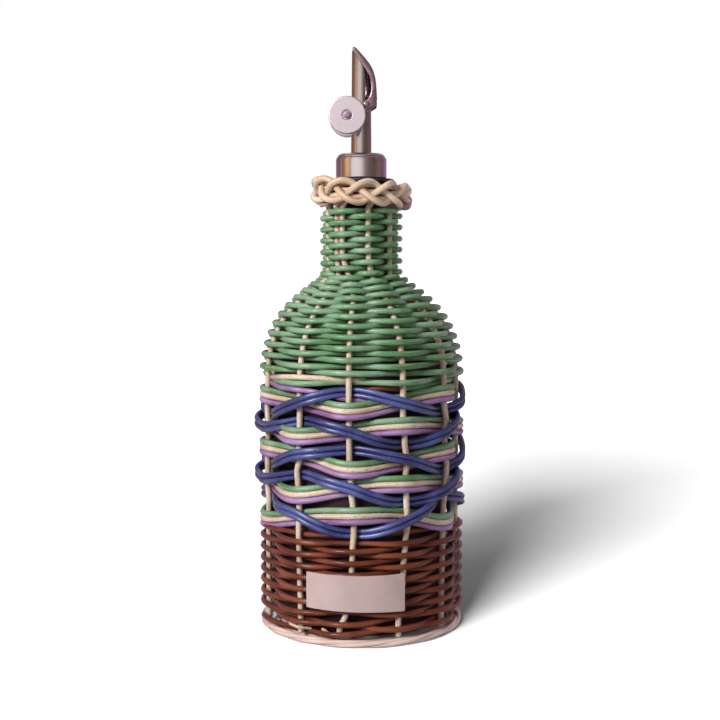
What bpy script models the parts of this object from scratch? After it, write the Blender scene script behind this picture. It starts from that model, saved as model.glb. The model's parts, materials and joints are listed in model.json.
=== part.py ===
# Oil bottle in a woven jacket, with a lift-out pourer and a weighted flap.
# Metres, +Z up. The origin is on the bottle's axis, on the plane that it stands on.
# The label faces -Y and the spout pours towards +X. Angles round the bottle run from -Y towards +X.
import math

import bmesh
import bpy
from mathutils import Vector

# Outline of the woven jacket
BODY_RADIUS = 0.0413
SHOULDER_FOOT = 0.0980
SHOULDER_RISE = 0.0430
NECK_HEIGHT = 0.0347
LOWER_HANDLE_SHARE = 0.78
UPPER_HANDLE_SHARE = 0.20
SHOULDER_STEPS = 12
NECK_STEPS = 4

# Strands of the jacket. The stakes shift from even places by shares of a step, and gather in the neck
STAKE_COUNT = 11
FIRST_STAKE_TURN = math.radians(-74.5)
BODY_TURN_SHARES = (-0.08, 0.12, 0.06, 0.02, 0.02, 0.0, 0.0, 0.0, 0.0, 0.0, 0.0)
NECK_TURN_SHARES = (-0.17, -0.12, -0.77, -0.36, 0.02, 0.18, 0.25, 0.33, -0.32, -0.22, -0.18)
GATHER_DROP = 0.0120
GATHER_RISE = 0.0090
PAIRED_STAKES = (2, 8)
PAIR_DROP = 0.0040
STAKE_RADIUS = 0.00105
WEAVER_RADIUS = 0.00095
STRAND_GAP = 0.00025
BULGE_ROOM = 0.00030
SEAT_GAP = 0.00030
JACKET_GAP = 0.00060
STAKE_LEAN = 0.00045
LEAN_RISE = 0.0030
STAKE_TOP_DROP = 0.0008
POINT_SHARE = 0.25

# Plain weave above and below the coloured bands
GREEN_RISE = 0.0026
GREEN_ROW_GAP = 0.00030
BROWN_ROW_GAP = 0.00035
ONE_POINT_RADIUS = 0.0280

# Coloured bands and the pair of waves that crosses each
BAND_COUNT = 5
BAND_SHIFT = 0.0022
BAND_ROW_GAP = 0.00015
WAVE_RADIUS = 0.00090
WAVE_ROW_GAP = 0.00015
CROSSING_GAP = 0.00015
BAND_GAP = 0.00020
BAND_TOP_GAP = 0.00108
BROWN_TOP_GAP = 0.00047
IDLE_SHARE = 0.5
BAND_COLOURS = ("green", "cream", "purple")
WAVE_NAMES = ("upper", "lower")
ODD_SIDES = (1, -1, 1, -1, 1, -1, 1, -1, -1, 1, -1)
EVEN_SIDES = (-1, 1, -1, 1, -1, 1, -1, 1, -1, -1, 1)
ODD_WAVE_SHARES = (-1, 0, 1, 0, -1, 0, 1, 0, 0, -1, 0)
EVEN_WAVE_SHARES = (0, 1, 0, -1, 0, 1, 0, -1, 0, 0, 1)

# Plaited rim round the mouth
RIM_DROP = 0.0041
RIM_RISE = 0.00330
RIM_STRAND_RADIUS = 0.00110
RIM_STRAND_GAP = 0.00048
RIM_SEAT = 0.00005
RIM_STRANDS = 3
RIM_WAVES = 7
RIM_WAVE_POINTS = 6

# Twisted border at the foot and the disc under the glass
BORDER_OUTSET = 0.0013
BORDER_REACH = 0.0011
BORDER_STRAND_RADIUS = 0.00075
BORDER_STRANDS = 2
BORDER_TWISTS = 9
BORDER_TWIST_POINTS = 4
FLOOR_GAP = 0.00010
DISC_GAP = 0.00045
DISC_THICKNESS = 0.0023
DISC_CHAMFER = 0.0005

# Label plate
LABEL_WIDTH = 0.0380
LABEL_BOTTOM = 0.0150
LABEL_HEIGHT = 0.0126
LABEL_THICKNESS = 0.0009
LABEL_TURN = math.radians(-2.7)
LABEL_COLUMNS = 12

# Glass
GLASS_WALL = 0.0017
GLASS_FLOOR = 0.0040
GLASS_HEEL = 0.0050
HEEL_STEPS = 3
PUNT_RISE = 0.0030
PUNT_SHARE = 0.80
LIP_GAP = 0.00040
LIP_HEIGHT = 0.0062
LIP_ROUND = 0.0010
GLASS_SEGMENTS = 24

# Stopper
FLANGE_LIP = 0.0009
FLANGE_THICKNESS = 0.0015
FIN_GAP = 0.00025
FIN_DEPTH = 0.0008
FIN_COUNT = 3
FIN_PITCH = 0.0042
RUBBER_WALL = 0.00185
PLUG_LENGTH = 0.0190
TUBE_GAP = 0.00030
STOPPER_SEGMENTS = 18

# Collar
COLLAR_RADIUS = 0.0100
COLLAR_HEIGHT = 0.0097
COLLAR_WALL = 0.0011
COLLAR_TOP_WALL = 0.0015
COLLAR_ROUND = 0.0012
COLLAR_ROUND_STEPS = 2
RIDGE_DROP = 0.0014
RIDGE_DEPTH = 0.0003
COLLAR_SEGMENTS = 24

# Spout tube and the vent tube inside its foot
SPOUT_RADIUS = 0.0040
SPOUT_WALL = 0.0005
TIP_TAPER = 0.00035
SPOUT_TIP_RISE = 0.0040
SPOUT_FOOT_INSET = 0.0030
SPOUT_TAPER_RISE = 0.0040
MOUTH_SLOPE = math.radians(52.6)
MOUTH_RISE = 0.0184
SPOUT_SEGMENTS = 20
VENT_RADIUS = 0.0010
VENT_BORE_RADIUS = 0.0005
VENT_DROP = 0.0090
VENT_RISE = 0.0190
VENT_SEGMENTS = 12

# Flap, its hinge studs and its weights
HINGE_X = 0.0021
HINGE_RISE = 0.0185
STUD_RADIUS = 0.0009
STUD_HEAD_RADIUS = 0.0013
STUD_HEAD_THICKNESS = 0.0005
STUD_GAP = 0.0003
PIN_BACK_GAP = 0.0007
PIN_DROP = 0.0043
PIN_RADIUS = 0.0008
PIN_HEAD_RADIUS = 0.0014
PIN_HEAD_THICKNESS = 0.0006
PIN_GAP = 0.0003
WEIGHT_RADIUS = 0.00705
WEIGHT_THICKNESS = 0.0032
WEIGHT_CHAMFER = 0.0004
ARM_GAP = 0.0004
ARM_THICKNESS = 0.0008
ARM_WELD = 0.0002
ARM_HEEL_DROP = 0.0014
ARM_HEEL_INSET = 0.0008
ARM_TONGUE = 0.0016
ARM_NECK_SHARE = 0.63
ARM_SHELF_RISE = 0.0018
ARM_SHELF_BACK = 0.0014
EYE_RADIUS = 0.0019
EYE_POINTS = 6
LID_THICKNESS = 0.0011
LID_GAP = 0.0003
LID_SIDE_GAP = 0.0011
LID_FOOT_RISE = 0.0013
LID_BEND_RADIUS = 0.0127
LID_INNER_BEND_RADIUS = 0.0059
LID_BEND_STEPS = 4
LID_TIP_SHARE = 0.5
HOLE_POINTS = 12
ROUND_SEGMENTS = 16
MERGE_DISTANCE = 0.000001

# Colour, roughness and metallic value of each material
FINISHES = {
    "green_strand": ((0.09, 0.26, 0.10), 0.45, 0.0),
    "cream_strand": ((0.75, 0.58, 0.38), 0.50, 0.0),
    "purple_strand": ((0.30, 0.11, 0.40), 0.45, 0.0),
    "blue_strand": ((0.03, 0.03, 0.15), 0.40, 0.0),
    "brown_strand": ((0.17, 0.045, 0.026), 0.38, 0.0),
    "pink_strand": ((0.73, 0.54, 0.49), 0.55, 0.0),
    "label_hide": ((0.68, 0.50, 0.48), 0.60, 0.0),
    "dark_glass": ((0.010, 0.022, 0.010), 0.08, 0.0),
    "black_rubber": ((0.015, 0.012, 0.016), 0.60, 0.0),
    "steel": ((0.62, 0.61, 0.60), 0.22, 1.0),
    "pale_steel": ((0.66, 0.62, 0.68), 0.34, 1.0),
}

# Strands: how far a weaver stands from the stakes' line, and what the jacket takes on each side
swing = STAKE_RADIUS + WEAVER_RADIUS + STRAND_GAP
weave_half = swing + WEAVER_RADIUS + BULGE_ROOM
glass_inset = weave_half + JACKET_GAP
stake_step = 2 * math.pi / STAKE_COUNT

# Widths, from the spout outwards to the neck's stakes
bore_radius = SPOUT_RADIUS + TUBE_GAP + RUBBER_WALL + FIN_DEPTH + FIN_GAP
neck_line = bore_radius + GLASS_WALL + glass_inset
body_line = BODY_RADIUS - weave_half
lip_radius = neck_line + STAKE_LEAN - STAKE_RADIUS - LIP_GAP
flange_radius = lip_radius + FLANGE_LIP
tip_radius = SPOUT_RADIUS - TIP_TAPER
rim_depth = (RIM_STRAND_RADIUS + RIM_STRAND_GAP / 2) / math.sin(math.pi / RIM_STRANDS)
rim_radius = neck_line + STAKE_LEAN + STAKE_RADIUS + RIM_SEAT + RIM_STRAND_RADIUS + rim_depth
border_line = body_line + BORDER_OUTSET
disc_radius = border_line - BORDER_REACH - BORDER_STRAND_RADIUS - DISC_GAP

# Heights of the glass, the rim and the foot
neck_foot = SHOULDER_FOOT + SHOULDER_RISE
glass_top = neck_foot + NECK_HEIGHT
glass_bottom = DISC_THICKNESS + SEAT_GAP
rim_middle = glass_top - RIM_DROP
stake_top = rim_middle - STAKE_TOP_DROP
stake_bend = stake_top - LEAN_RISE
stake_bottom = FLOOR_GAP + 2 * (BORDER_REACH + BORDER_STRAND_RADIUS) + STRAND_GAP

# Rows of the plain weave and of the bands
green_pitch = 2 * WEAVER_RADIUS + GREEN_ROW_GAP
brown_pitch = 2 * WEAVER_RADIUS + BROWN_ROW_GAP
band_row = 2 * WEAVER_RADIUS + BAND_ROW_GAP
wave_row = 2 * WAVE_RADIUS + WAVE_ROW_GAP
band_half = band_row + WEAVER_RADIUS
wave_half = wave_row / 2 + WAVE_RADIUS
crossing_share = (1 + IDLE_SHARE) / 2
wave_shift = (band_half + wave_half + CROSSING_GAP) / crossing_share - BAND_SHIFT
band_pitch = 2 * (crossing_share * wave_shift + wave_half) + BAND_GAP
green_top = rim_middle - RIM_RISE - RIM_STRAND_RADIUS - RIM_SEAT - WEAVER_RADIUS
green_bottom = SHOULDER_FOOT + GREEN_RISE
band_top = green_bottom - WEAVER_RADIUS - BAND_TOP_GAP - wave_half - wave_shift
band_bottom = band_top - (BAND_COUNT - 1) * band_pitch - wave_shift - wave_half
brown_top = band_bottom - BROWN_TOP_GAP - WEAVER_RADIUS
brown_bottom = stake_bottom + WEAVER_RADIUS

# Heights of the pourer
flange_bottom = glass_top + SEAT_GAP
flange_top = flange_bottom + FLANGE_THICKNESS
plug_bottom = flange_bottom - PLUG_LENGTH
collar_bottom = flange_top + SEAT_GAP
collar_top = collar_bottom + COLLAR_HEIGHT
hinge_height = collar_top + HINGE_RISE
mouth_height = hinge_height + MOUTH_RISE
spout_top = mouth_height + SPOUT_TIP_RISE

# Places of the flap's arms, lid and weights
arm_inside = SPOUT_RADIUS + ARM_GAP
stud_neck = arm_inside + ARM_THICKNESS + STUD_GAP
weight_inside = stud_neck + STUD_HEAD_THICKNESS + PIN_GAP
weight_outside = weight_inside + WEIGHT_THICKNESS
pin_x = -(SPOUT_RADIUS + PIN_BACK_GAP + PIN_RADIUS)
pin_height = hinge_height - PIN_DROP
lid_front = SPOUT_RADIUS + LID_SIDE_GAP + LID_THICKNESS
lid_foot = hinge_height + LID_FOOT_RISE



def clear_scene():
    for old in list(bpy.data.objects):
        bpy.data.objects.remove(old, do_unlink=True)


def new_collection(name):
    group = bpy.data.collections.new(name)
    bpy.context.scene.collection.children.link(group)
    return group


def make_materials():
    made = {}
    for name, (colour, roughness, metallic) in FINISHES.items():
        material = bpy.data.materials.new(name)
        material.use_nodes = True
        shader = material.node_tree.nodes["Principled BSDF"]
        shader.inputs["Base Color"].default_value = (*colour, 1.0)
        shader.inputs["Roughness"].default_value = roughness
        shader.inputs["Metallic"].default_value = metallic
        made[name] = material
    return made


clear_scene()
PARTS = new_collection("oil_bottle")
CUTTERS = new_collection("cutters")
MATERIALS = make_materials()


def add_object(name, data, finish):
    made = bpy.data.objects.new(name, data)
    PARTS.objects.link(made)
    data.materials.append(MATERIALS[finish])
    return made


def carry(piece, holder):
    piece.parent = holder
    piece.matrix_parent_inverse = holder.matrix_world.inverted()


def add_pivot(name, place):
    pivot = bpy.data.objects.new(name, None)
    pivot.location = place
    PARTS.objects.link(pivot)
    bpy.context.view_layer.update()
    return pivot


def round_place(turn, radius, height):
    return Vector((radius * math.sin(turn), -radius * math.cos(turn), height))


def turned(name, outline, segments, finish, hollow=True):
    """Turned solid: the outline runs down its outer side, and closes on itself when hollow."""
    mesh = bpy.data.meshes.new(name)
    points = [(radius, 0.0, height) for radius, height in outline]
    edges = [(i, i + 1) for i in range(len(points) - 1)]
    if hollow:
        edges.append((len(points) - 1, 0))
    mesh.from_pydata(points, edges, [])
    made = add_object(name, mesh, finish)
    screw = made.modifiers.new("turn", "SCREW")
    screw.axis = "Z"
    screw.angle = 2 * math.pi
    screw.steps = segments
    screw.render_steps = segments
    screw.use_merge_vertices = True
    screw.merge_threshold = MERGE_DISTANCE
    screw.use_smooth_shade = True
    return made


def strand(name, points, radius, finish, closed=False, sides_step=0, level=True):
    curve = bpy.data.curves.new(name, "CURVE")
    curve.dimensions = "3D"
    curve.bevel_depth = radius
    curve.bevel_resolution = sides_step
    curve.use_fill_caps = True
    curve.twist_mode = "Z_UP" if level else "MINIMUM"
    spline = curve.splines.new("POLY")
    spline.points.add(len(points) - 1)
    for knot, place in zip(spline.points, points):
        knot.co = (*place, 1.0)
    spline.use_cyclic_u = closed
    return add_object(name, curve, finish)


def flat_plate(name, outlines, thickness, middle, finish):
    """Plate in the XZ plane, centred on y = middle: the first outline is its edge, the rest are holes."""
    curve = bpy.data.curves.new(name, "CURVE")
    curve.dimensions = "2D"
    curve.fill_mode = "BOTH"
    curve.extrude = thickness / 2
    for outline in outlines:
        spline = curve.splines.new("POLY")
        spline.points.add(len(outline) - 1)
        for knot, (x, z) in zip(spline.points, outline):
            knot.co = (x, z, 0.0, 1.0)
        spline.use_cyclic_u = True
    made = add_object(name, curve, finish)
    made.rotation_euler.x = math.pi / 2
    made.location.y = middle
    return made


def as_mesh(piece, finish):
    """The curve object made a welded mesh object in the same place, under the same name."""
    bpy.context.view_layer.update()
    shape = piece.evaluated_get(bpy.context.evaluated_depsgraph_get())
    mesh = bpy.data.meshes.new_from_object(shape)
    name = piece.name
    place = piece.matrix_world.copy()
    bpy.data.objects.remove(piece, do_unlink=True)
    welded = bmesh.new()
    welded.from_mesh(mesh)
    bmesh.ops.remove_doubles(welded, verts=welded.verts, dist=MERGE_DISTANCE)
    bmesh.ops.recalc_face_normals(welded, faces=welded.faces)
    welded.to_mesh(mesh)
    welded.free()
    mesh.materials.clear()
    made = add_object(name, mesh, finish)
    made.matrix_world = place
    return made


def as_cutter(piece):
    PARTS.objects.unlink(piece)
    CUTTERS.objects.link(piece)
    piece.hide_render = True
    piece.display_type = "WIRE"


def apply_tool(piece, tool, operation):
    boolean = piece.modifiers.new(operation.lower(), "BOOLEAN")
    boolean.operation = operation
    boolean.object = tool


def arc_points(centre_x, centre_z, radius, first, last, steps):
    turns = [first + (last - first) * i / steps for i in range(steps + 1)]
    return [(centre_x + radius * math.cos(t), centre_z + radius * math.sin(t)) for t in turns]


def ring_points(centre_x, centre_z, radius, count):
    return arc_points(centre_x, centre_z, radius, 0.0, 2 * math.pi, count)[:-1]


def stake_turn(number, height):
    """Angle of a stake at a height: its place round the body, drawn to its place in the neck."""
    gathered = (height - neck_foot + GATHER_DROP) / (GATHER_DROP + GATHER_RISE)
    gathered = min(max(gathered, 0.0), 1.0)
    gathered = gathered * gathered * (3 - 2 * gathered)
    rounds, stake = divmod(number, STAKE_COUNT)
    shift = BODY_TURN_SHARES[stake] + gathered * (NECK_TURN_SHARES[stake] - BODY_TURN_SHARES[stake])
    return FIRST_STAKE_TURN + (stake + shift) * stake_step + rounds * 2 * math.pi


def beside_stake(number, height, radius):
    """The two places beside a stake between which a strand runs square to it at that radius."""
    turn = stake_turn(number, height)
    places = []
    for lean in (-1, 1):
        aside = POINT_SHARE * (stake_turn(number + lean, height) - turn)
        places.append((turn + aside, radius / math.cos(aside)))
    return places


def shoulder_point(share):
    """Point of the stakes' line on the shoulder's curve, from its foot to the neck."""
    rise = neck_foot - SHOULDER_FOOT
    knots = (
        (body_line, SHOULDER_FOOT),
        (body_line, SHOULDER_FOOT + LOWER_HANDLE_SHARE * rise),
        (neck_line, neck_foot - UPPER_HANDLE_SHARE * rise),
        (neck_line, neck_foot),
    )
    rest = 1 - share
    weights = (rest ** 3, 3 * rest ** 2 * share, 3 * rest * share ** 2, share ** 3)
    return (
        sum(weight * knot[0] for weight, knot in zip(weights, knots)),
        sum(weight * knot[1] for weight, knot in zip(weights, knots)),
    )


def stake_line(bottom, top, steps):
    """Radius and height of the stakes' line from one height to the other."""
    line = [(body_line, bottom)]
    line += [shoulder_point(i / steps) for i in range(steps + 1)]
    line += [(neck_line, neck_foot + (top - neck_foot) * i / NECK_STEPS) for i in range(1, NECK_STEPS + 1)]
    return line


def offset_line(line, distance):
    """The line moved outwards by a distance, square to its own run."""
    moved = []
    for i, (radius, height) in enumerate(line):
        before = line[max(i - 1, 0)]
        after = line[min(i + 1, len(line) - 1)]
        run = math.hypot(after[0] - before[0], after[1] - before[1])
        out = ((after[1] - before[1]) / run, (before[0] - after[0]) / run)
        moved.append((radius + distance * out[0], height + distance * out[1]))
    return moved


class Profile:
    """The stakes' line by distance along it, with its outward direction."""

    def __init__(self, bottom, top):
        self.line = stake_line(bottom, top, SHOULDER_STEPS * STAKE_COUNT)
        self.lengths = [0.0]
        for here, there in zip(self.line, self.line[1:]):
            step = math.hypot(there[0] - here[0], there[1] - here[1])
            self.lengths.append(self.lengths[-1] + step)
        self.total = self.lengths[-1]

    def length_at(self, height):
        i = 0
        while i < len(self.line) - 2 and self.line[i + 1][1] < height:
            i += 1
        low, high = self.line[i][1], self.line[i + 1][1]
        share = (height - low) / (high - low)
        return self.lengths[i] + share * (self.lengths[i + 1] - self.lengths[i])

    def at(self, length, out=0.0):
        length = min(max(length, 0.0), self.total)
        i = 0
        while i < len(self.line) - 2 and self.lengths[i + 1] < length:
            i += 1
        here, there = self.line[i], self.line[i + 1]
        run = self.lengths[i + 1] - self.lengths[i]
        share = (length - self.lengths[i]) / run
        along = ((there[0] - here[0]) / run, (there[1] - here[1]) / run)
        radius = here[0] + share * (there[0] - here[0]) + out * along[1]
        height = here[1] + share * (there[1] - here[1]) - out * along[0]
        return radius, height


def straight_swing(radius):
    """Swing of a weaver with one point a stake, whose straight runs clear the stakes."""
    places = [stake_turn(number, SHOULDER_FOOT) for number in range(STAKE_COUNT + 1)]
    tight = min(there - here for here, there in zip(places, places[1:]))
    reach = swing
    for _ in range(STAKE_COUNT):
        inner = radius - reach
        drop = radius + reach - inner * math.cos(tight)
        slope = math.atan2(drop, inner * math.sin(tight))
        reach = swing / math.cos(slope)
    return reach


def woven_spiral(name, profile, bottom, top, pitch, side, finish):
    """One weaver that climbs from one height to another, in and out of the stakes, from a given side."""
    first = profile.length_at(bottom)
    reach = profile.length_at(top) - first
    passes = int(reach / pitch * STAKE_COUNT)
    points = []
    for i in range(passes + 1):
        length = first + reach * i / passes
        line_radius, line_height = profile.at(length)
        paired = i % STAKE_COUNT in PAIRED_STAKES and line_height > neck_foot - PAIR_DROP
        if i > 0 and not paired:
            side = -side
        if line_radius > ONE_POINT_RADIUS:
            radius, height = profile.at(length, side * straight_swing(line_radius))
            points.append(round_place(stake_turn(i, line_height), radius, height))
            continue
        radius, height = profile.at(length, side * swing)
        climb = POINT_SHARE * reach / passes
        for lean, (turn, reached) in zip((-1, 1), beside_stake(i, line_height, radius)):
            points.append(round_place(turn, reached, height + lean * climb))
    return strand(name, points, WEAVER_RADIUS, finish)


def woven_ring(name, height, sides, shares, shift, radius, finish):
    """A closed strand that passes each stake on its given side and wanders by shares of the shift."""
    points = []
    for i in range(STAKE_COUNT):
        places = beside_stake(i, height, body_line + sides[i] * swing)
        for lean, (turn, reach) in zip((-1, 1), places):
            share = shares[i]
            if share == 0:
                share = IDLE_SHARE * shares[(i + lean) % STAKE_COUNT]
            points.append(round_place(turn, reach, height + share * shift))
    return strand(name, points, radius, finish, closed=True)


def make_stakes():
    line = stake_line(stake_bottom, stake_bend, SHOULDER_STEPS)
    line.append((neck_line + STAKE_LEAN, stake_top))
    for i in range(STAKE_COUNT):
        points = [round_place(stake_turn(i, height), radius, height) for radius, height in line]
        strand(f"stake_{i + 1:02d}", points, STAKE_RADIUS, "cream_strand", level=False)


def make_weavers():
    profile = Profile(stake_bottom, stake_bend)
    woven_spiral("green_weaver", profile, green_bottom, green_top, green_pitch, -1, "green_strand")
    woven_spiral("brown_weaver", profile, brown_bottom, brown_top, brown_pitch, 1, "brown_strand")


def make_bands():
    for number in range(BAND_COUNT):
        middle = band_top - number * band_pitch
        odd = number % 2 == 0
        sides = ODD_SIDES if odd else EVEN_SIDES
        shares = ODD_WAVE_SHARES if odd else EVEN_WAVE_SHARES
        if number == BAND_COUNT - 1:
            shares = [-share for share in shares]
        for row, colour in enumerate(BAND_COLOURS):
            height = middle + (1 - row) * band_row
            name = f"{colour}_band_{number + 1}"
            woven_ring(name, height, sides, shares, -BAND_SHIFT, WEAVER_RADIUS, f"{colour}_strand")
        other_sides = [-side for side in sides]
        for row, place in enumerate(WAVE_NAMES):
            height = middle + wave_row / 2 - row * wave_row
            name = f"blue_wave_{number + 1}_{place}"
            woven_ring(name, height, other_sides, shares, wave_shift, WAVE_RADIUS, "blue_strand")


def make_rim():
    samples = RIM_WAVE_POINTS * RIM_WAVES
    for number in range(RIM_STRANDS):
        points = []
        for i in range(samples):
            phase = 2 * math.pi * ((i + 0.5) / RIM_WAVE_POINTS + number / RIM_STRANDS)
            radius = rim_radius + rim_depth * math.sin(2 * phase)
            height = rim_middle + RIM_RISE * math.sin(phase)
            points.append(round_place(2 * math.pi * i / samples, radius, height))
        strand(f"rim_strand_{number + 1}", points, RIM_STRAND_RADIUS, "cream_strand", closed=True)


def make_foot():
    samples = BORDER_TWIST_POINTS * BORDER_TWISTS
    middle = FLOOR_GAP + BORDER_REACH + BORDER_STRAND_RADIUS
    for number in range(BORDER_STRANDS):
        points = []
        for i in range(samples):
            phase = 2 * math.pi * (i / BORDER_TWIST_POINTS + number / BORDER_STRANDS)
            radius = border_line + BORDER_REACH * math.cos(phase)
            height = middle + BORDER_REACH * math.sin(phase)
            points.append(round_place(2 * math.pi * i / samples, radius, height))
        name = f"base_border_{number + 1}"
        strand(name, points, BORDER_STRAND_RADIUS, "pink_strand", closed=True)
    outline = [
        (0.0, DISC_THICKNESS),
        (disc_radius - DISC_CHAMFER, DISC_THICKNESS),
        (disc_radius, DISC_THICKNESS - DISC_CHAMFER),
        (disc_radius, DISC_CHAMFER),
        (disc_radius - DISC_CHAMFER, 0.0),
        (0.0, 0.0),
    ]
    turned("base_disc", outline, GLASS_SEGMENTS, "pink_strand", hollow=False)


def make_label():
    inside = BODY_RADIUS + SEAT_GAP
    half_turn = math.asin(LABEL_WIDTH / 2 / inside)
    sheet = bmesh.new()
    columns = []
    for i in range(LABEL_COLUMNS + 1):
        turn = LABEL_TURN + half_turn * (2 * i / LABEL_COLUMNS - 1)
        low = sheet.verts.new(round_place(turn, inside, LABEL_BOTTOM))
        high = sheet.verts.new(round_place(turn, inside, LABEL_BOTTOM + LABEL_HEIGHT))
        columns.append((low, high))
    for (low, high), (next_low, next_high) in zip(columns, columns[1:]):
        sheet.faces.new((low, next_low, next_high, high))
    mesh = bpy.data.meshes.new("label_plate")
    sheet.to_mesh(mesh)
    sheet.free()
    made = add_object("label_plate", mesh, "label_hide")
    solid = made.modifiers.new("thickness", "SOLIDIFY")
    solid.thickness = LABEL_THICKNESS
    solid.offset = 1.0
    solid.use_even_offset = True


def make_glass():
    line = stake_line(glass_bottom + GLASS_HEEL, glass_top - LIP_HEIGHT, SHOULDER_STEPS)
    outside = offset_line(line, -glass_inset)
    inside = offset_line(line, -glass_inset - GLASS_WALL)
    body = outside[0][0]
    floor = glass_bottom + PUNT_RISE + GLASS_FLOOR
    heel = body - GLASS_HEEL
    bowl = inside[0][0] - GLASS_HEEL
    down = -math.pi / 2
    outline = [(0.0, floor)]
    outline += arc_points(bowl, floor + GLASS_HEEL, GLASS_HEEL, down, 0.0, HEEL_STEPS)
    outline += inside[1:-1]
    outline.append((bore_radius, glass_top))
    outline.append((lip_radius - LIP_ROUND, glass_top))
    outline.append((lip_radius, glass_top - LIP_ROUND))
    outline.append((lip_radius, glass_top - LIP_HEIGHT + LIP_ROUND))
    outline.append((lip_radius - LIP_ROUND, glass_top - LIP_HEIGHT))
    outline += outside[:0:-1]
    outline += arc_points(heel, glass_bottom + GLASS_HEEL, GLASS_HEEL, 0.0, down, HEEL_STEPS)
    outline.append((heel * PUNT_SHARE, glass_bottom))
    outline.append((0.0, glass_bottom + PUNT_RISE))
    turned("glass_bottle", outline, GLASS_SEGMENTS, "dark_glass", hollow=False)


def make_stopper(holder):
    plug = bore_radius - FIN_GAP
    core = plug - FIN_DEPTH
    boss_top = collar_top - COLLAR_TOP_WALL - SEAT_GAP
    boss = COLLAR_RADIUS - COLLAR_WALL - SEAT_GAP
    bore = SPOUT_RADIUS + TUBE_GAP
    outline = [(bore, boss_top), (boss, boss_top), (boss, flange_top)]
    outline += [(flange_radius, flange_top), (flange_radius, flange_bottom), (core, flange_bottom)]
    for i in range(FIN_COUNT):
        tip = flange_bottom - (i + 1) * FIN_PITCH + FIN_PITCH / 2
        outline += [(core, tip + FIN_DEPTH), (plug, tip), (core, tip - FIN_DEPTH)]
    outline += [(core, plug_bottom + FIN_DEPTH), (core - FIN_DEPTH, plug_bottom), (bore, plug_bottom)]
    made = turned("stopper", outline, STOPPER_SEGMENTS, "black_rubber")
    carry(made, holder)


def make_collar(holder):
    inside = COLLAR_RADIUS - COLLAR_WALL
    bore = SPOUT_RADIUS + TUBE_GAP
    ridge = collar_top - RIDGE_DROP
    round_x = COLLAR_RADIUS - COLLAR_ROUND
    round_z = collar_top - COLLAR_ROUND
    outline = [(bore, collar_top)]
    outline += arc_points(round_x, round_z, COLLAR_ROUND, math.pi / 2, 0.0, COLLAR_ROUND_STEPS)
    outline += [
        (COLLAR_RADIUS, ridge - RIDGE_DEPTH),
        (COLLAR_RADIUS - RIDGE_DEPTH, ridge - 2 * RIDGE_DEPTH),
        (COLLAR_RADIUS, ridge - 3 * RIDGE_DEPTH),
        (COLLAR_RADIUS, collar_bottom),
        (inside, collar_bottom),
        (inside, collar_top - COLLAR_TOP_WALL),
        (bore, collar_top - COLLAR_TOP_WALL),
    ]
    made = turned("collar", outline, COLLAR_SEGMENTS, "steel")
    carry(made, holder)


def make_spout(holder):
    foot = plug_bottom + SPOUT_FOOT_INSET
    taper = collar_top + SPOUT_TAPER_RISE
    outline = [
        (tip_radius, spout_top),
        (SPOUT_RADIUS, taper),
        (SPOUT_RADIUS, foot),
        (SPOUT_RADIUS - SPOUT_WALL, foot),
        (SPOUT_RADIUS - SPOUT_WALL, taper),
        (tip_radius - SPOUT_WALL, spout_top),
    ]
    tube = turned("spout_tube", outline, SPOUT_SEGMENTS, "steel")
    bpy.ops.mesh.primitive_cube_add(size=1.0)
    cutter = bpy.context.object
    cutter.name = "mouth_cut"
    side = spout_top - hinge_height
    lift = side / 2
    cutter.scale = (2 * side, side, side)
    cutter.rotation_euler.y = MOUTH_SLOPE
    out = Vector((math.sin(MOUTH_SLOPE), 0.0, math.cos(MOUTH_SLOPE)))
    cutter.location = Vector((0.0, 0.0, mouth_height)) + out * lift
    for group in list(cutter.users_collection):
        group.objects.unlink(cutter)
    PARTS.objects.link(cutter)
    as_cutter(cutter)
    apply_tool(tube, cutter, "DIFFERENCE")
    carry(tube, holder)
    vent_x = -(SPOUT_RADIUS - SPOUT_WALL - SEAT_GAP - VENT_RADIUS)
    vent_bottom = plug_bottom - VENT_DROP
    vent_top = plug_bottom + VENT_RISE
    outline = [
        (VENT_RADIUS, vent_top),
        (VENT_RADIUS, vent_bottom),
        (VENT_BORE_RADIUS, vent_bottom),
        (VENT_BORE_RADIUS, vent_top),
    ]
    vent = turned("vent_tube", outline, VENT_SEGMENTS, "steel")
    vent.location.x = vent_x
    bpy.context.view_layer.update()
    carry(vent, holder)


def cross_pin(name, x, height, sections, finish):
    """A solid turned about a cross axis: sections give its radius at each distance from the middle."""
    outline = [(radius, spot) for radius, spot in sections]
    made = turned(name, outline, ROUND_SEGMENTS, finish, hollow=False)
    made.rotation_euler.x = math.pi / 2
    made.location = (x, 0.0, height)
    return made


def make_studs(holder):
    root = arm_inside - STUD_GAP
    head = stud_neck + STUD_HEAD_THICKNESS
    for name, side in (("hinge_stud_near", 1), ("hinge_stud_far", -1)):
        sections = [
            (0.0, head),
            (STUD_HEAD_RADIUS, head),
            (STUD_HEAD_RADIUS, stud_neck),
            (STUD_RADIUS, stud_neck),
            (STUD_RADIUS, root),
            (0.0, root),
        ]
        if side < 0:
            sections = [(radius, -spot) for radius, spot in sections[::-1]]
        made = cross_pin(name, HINGE_X, hinge_height, sections, "steel")
        bpy.context.view_layer.update()
        carry(made, holder)


def above_mouth(x, clear):
    """Height of the plane that lies a given distance above the slanted mouth."""
    return mouth_height + clear / math.cos(MOUTH_SLOPE) - math.tan(MOUTH_SLOPE) * x


def lid_bend(front, clear, radius):
    """Round between the lid's slope and its upright front, from the slope down."""
    bend = math.pi / 2 - MOUTH_SLOPE
    foot = above_mouth(front, clear) - radius * math.tan(bend / 2)
    return arc_points(front - radius, foot, radius, bend, 0.0, LID_BEND_STEPS)


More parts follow.
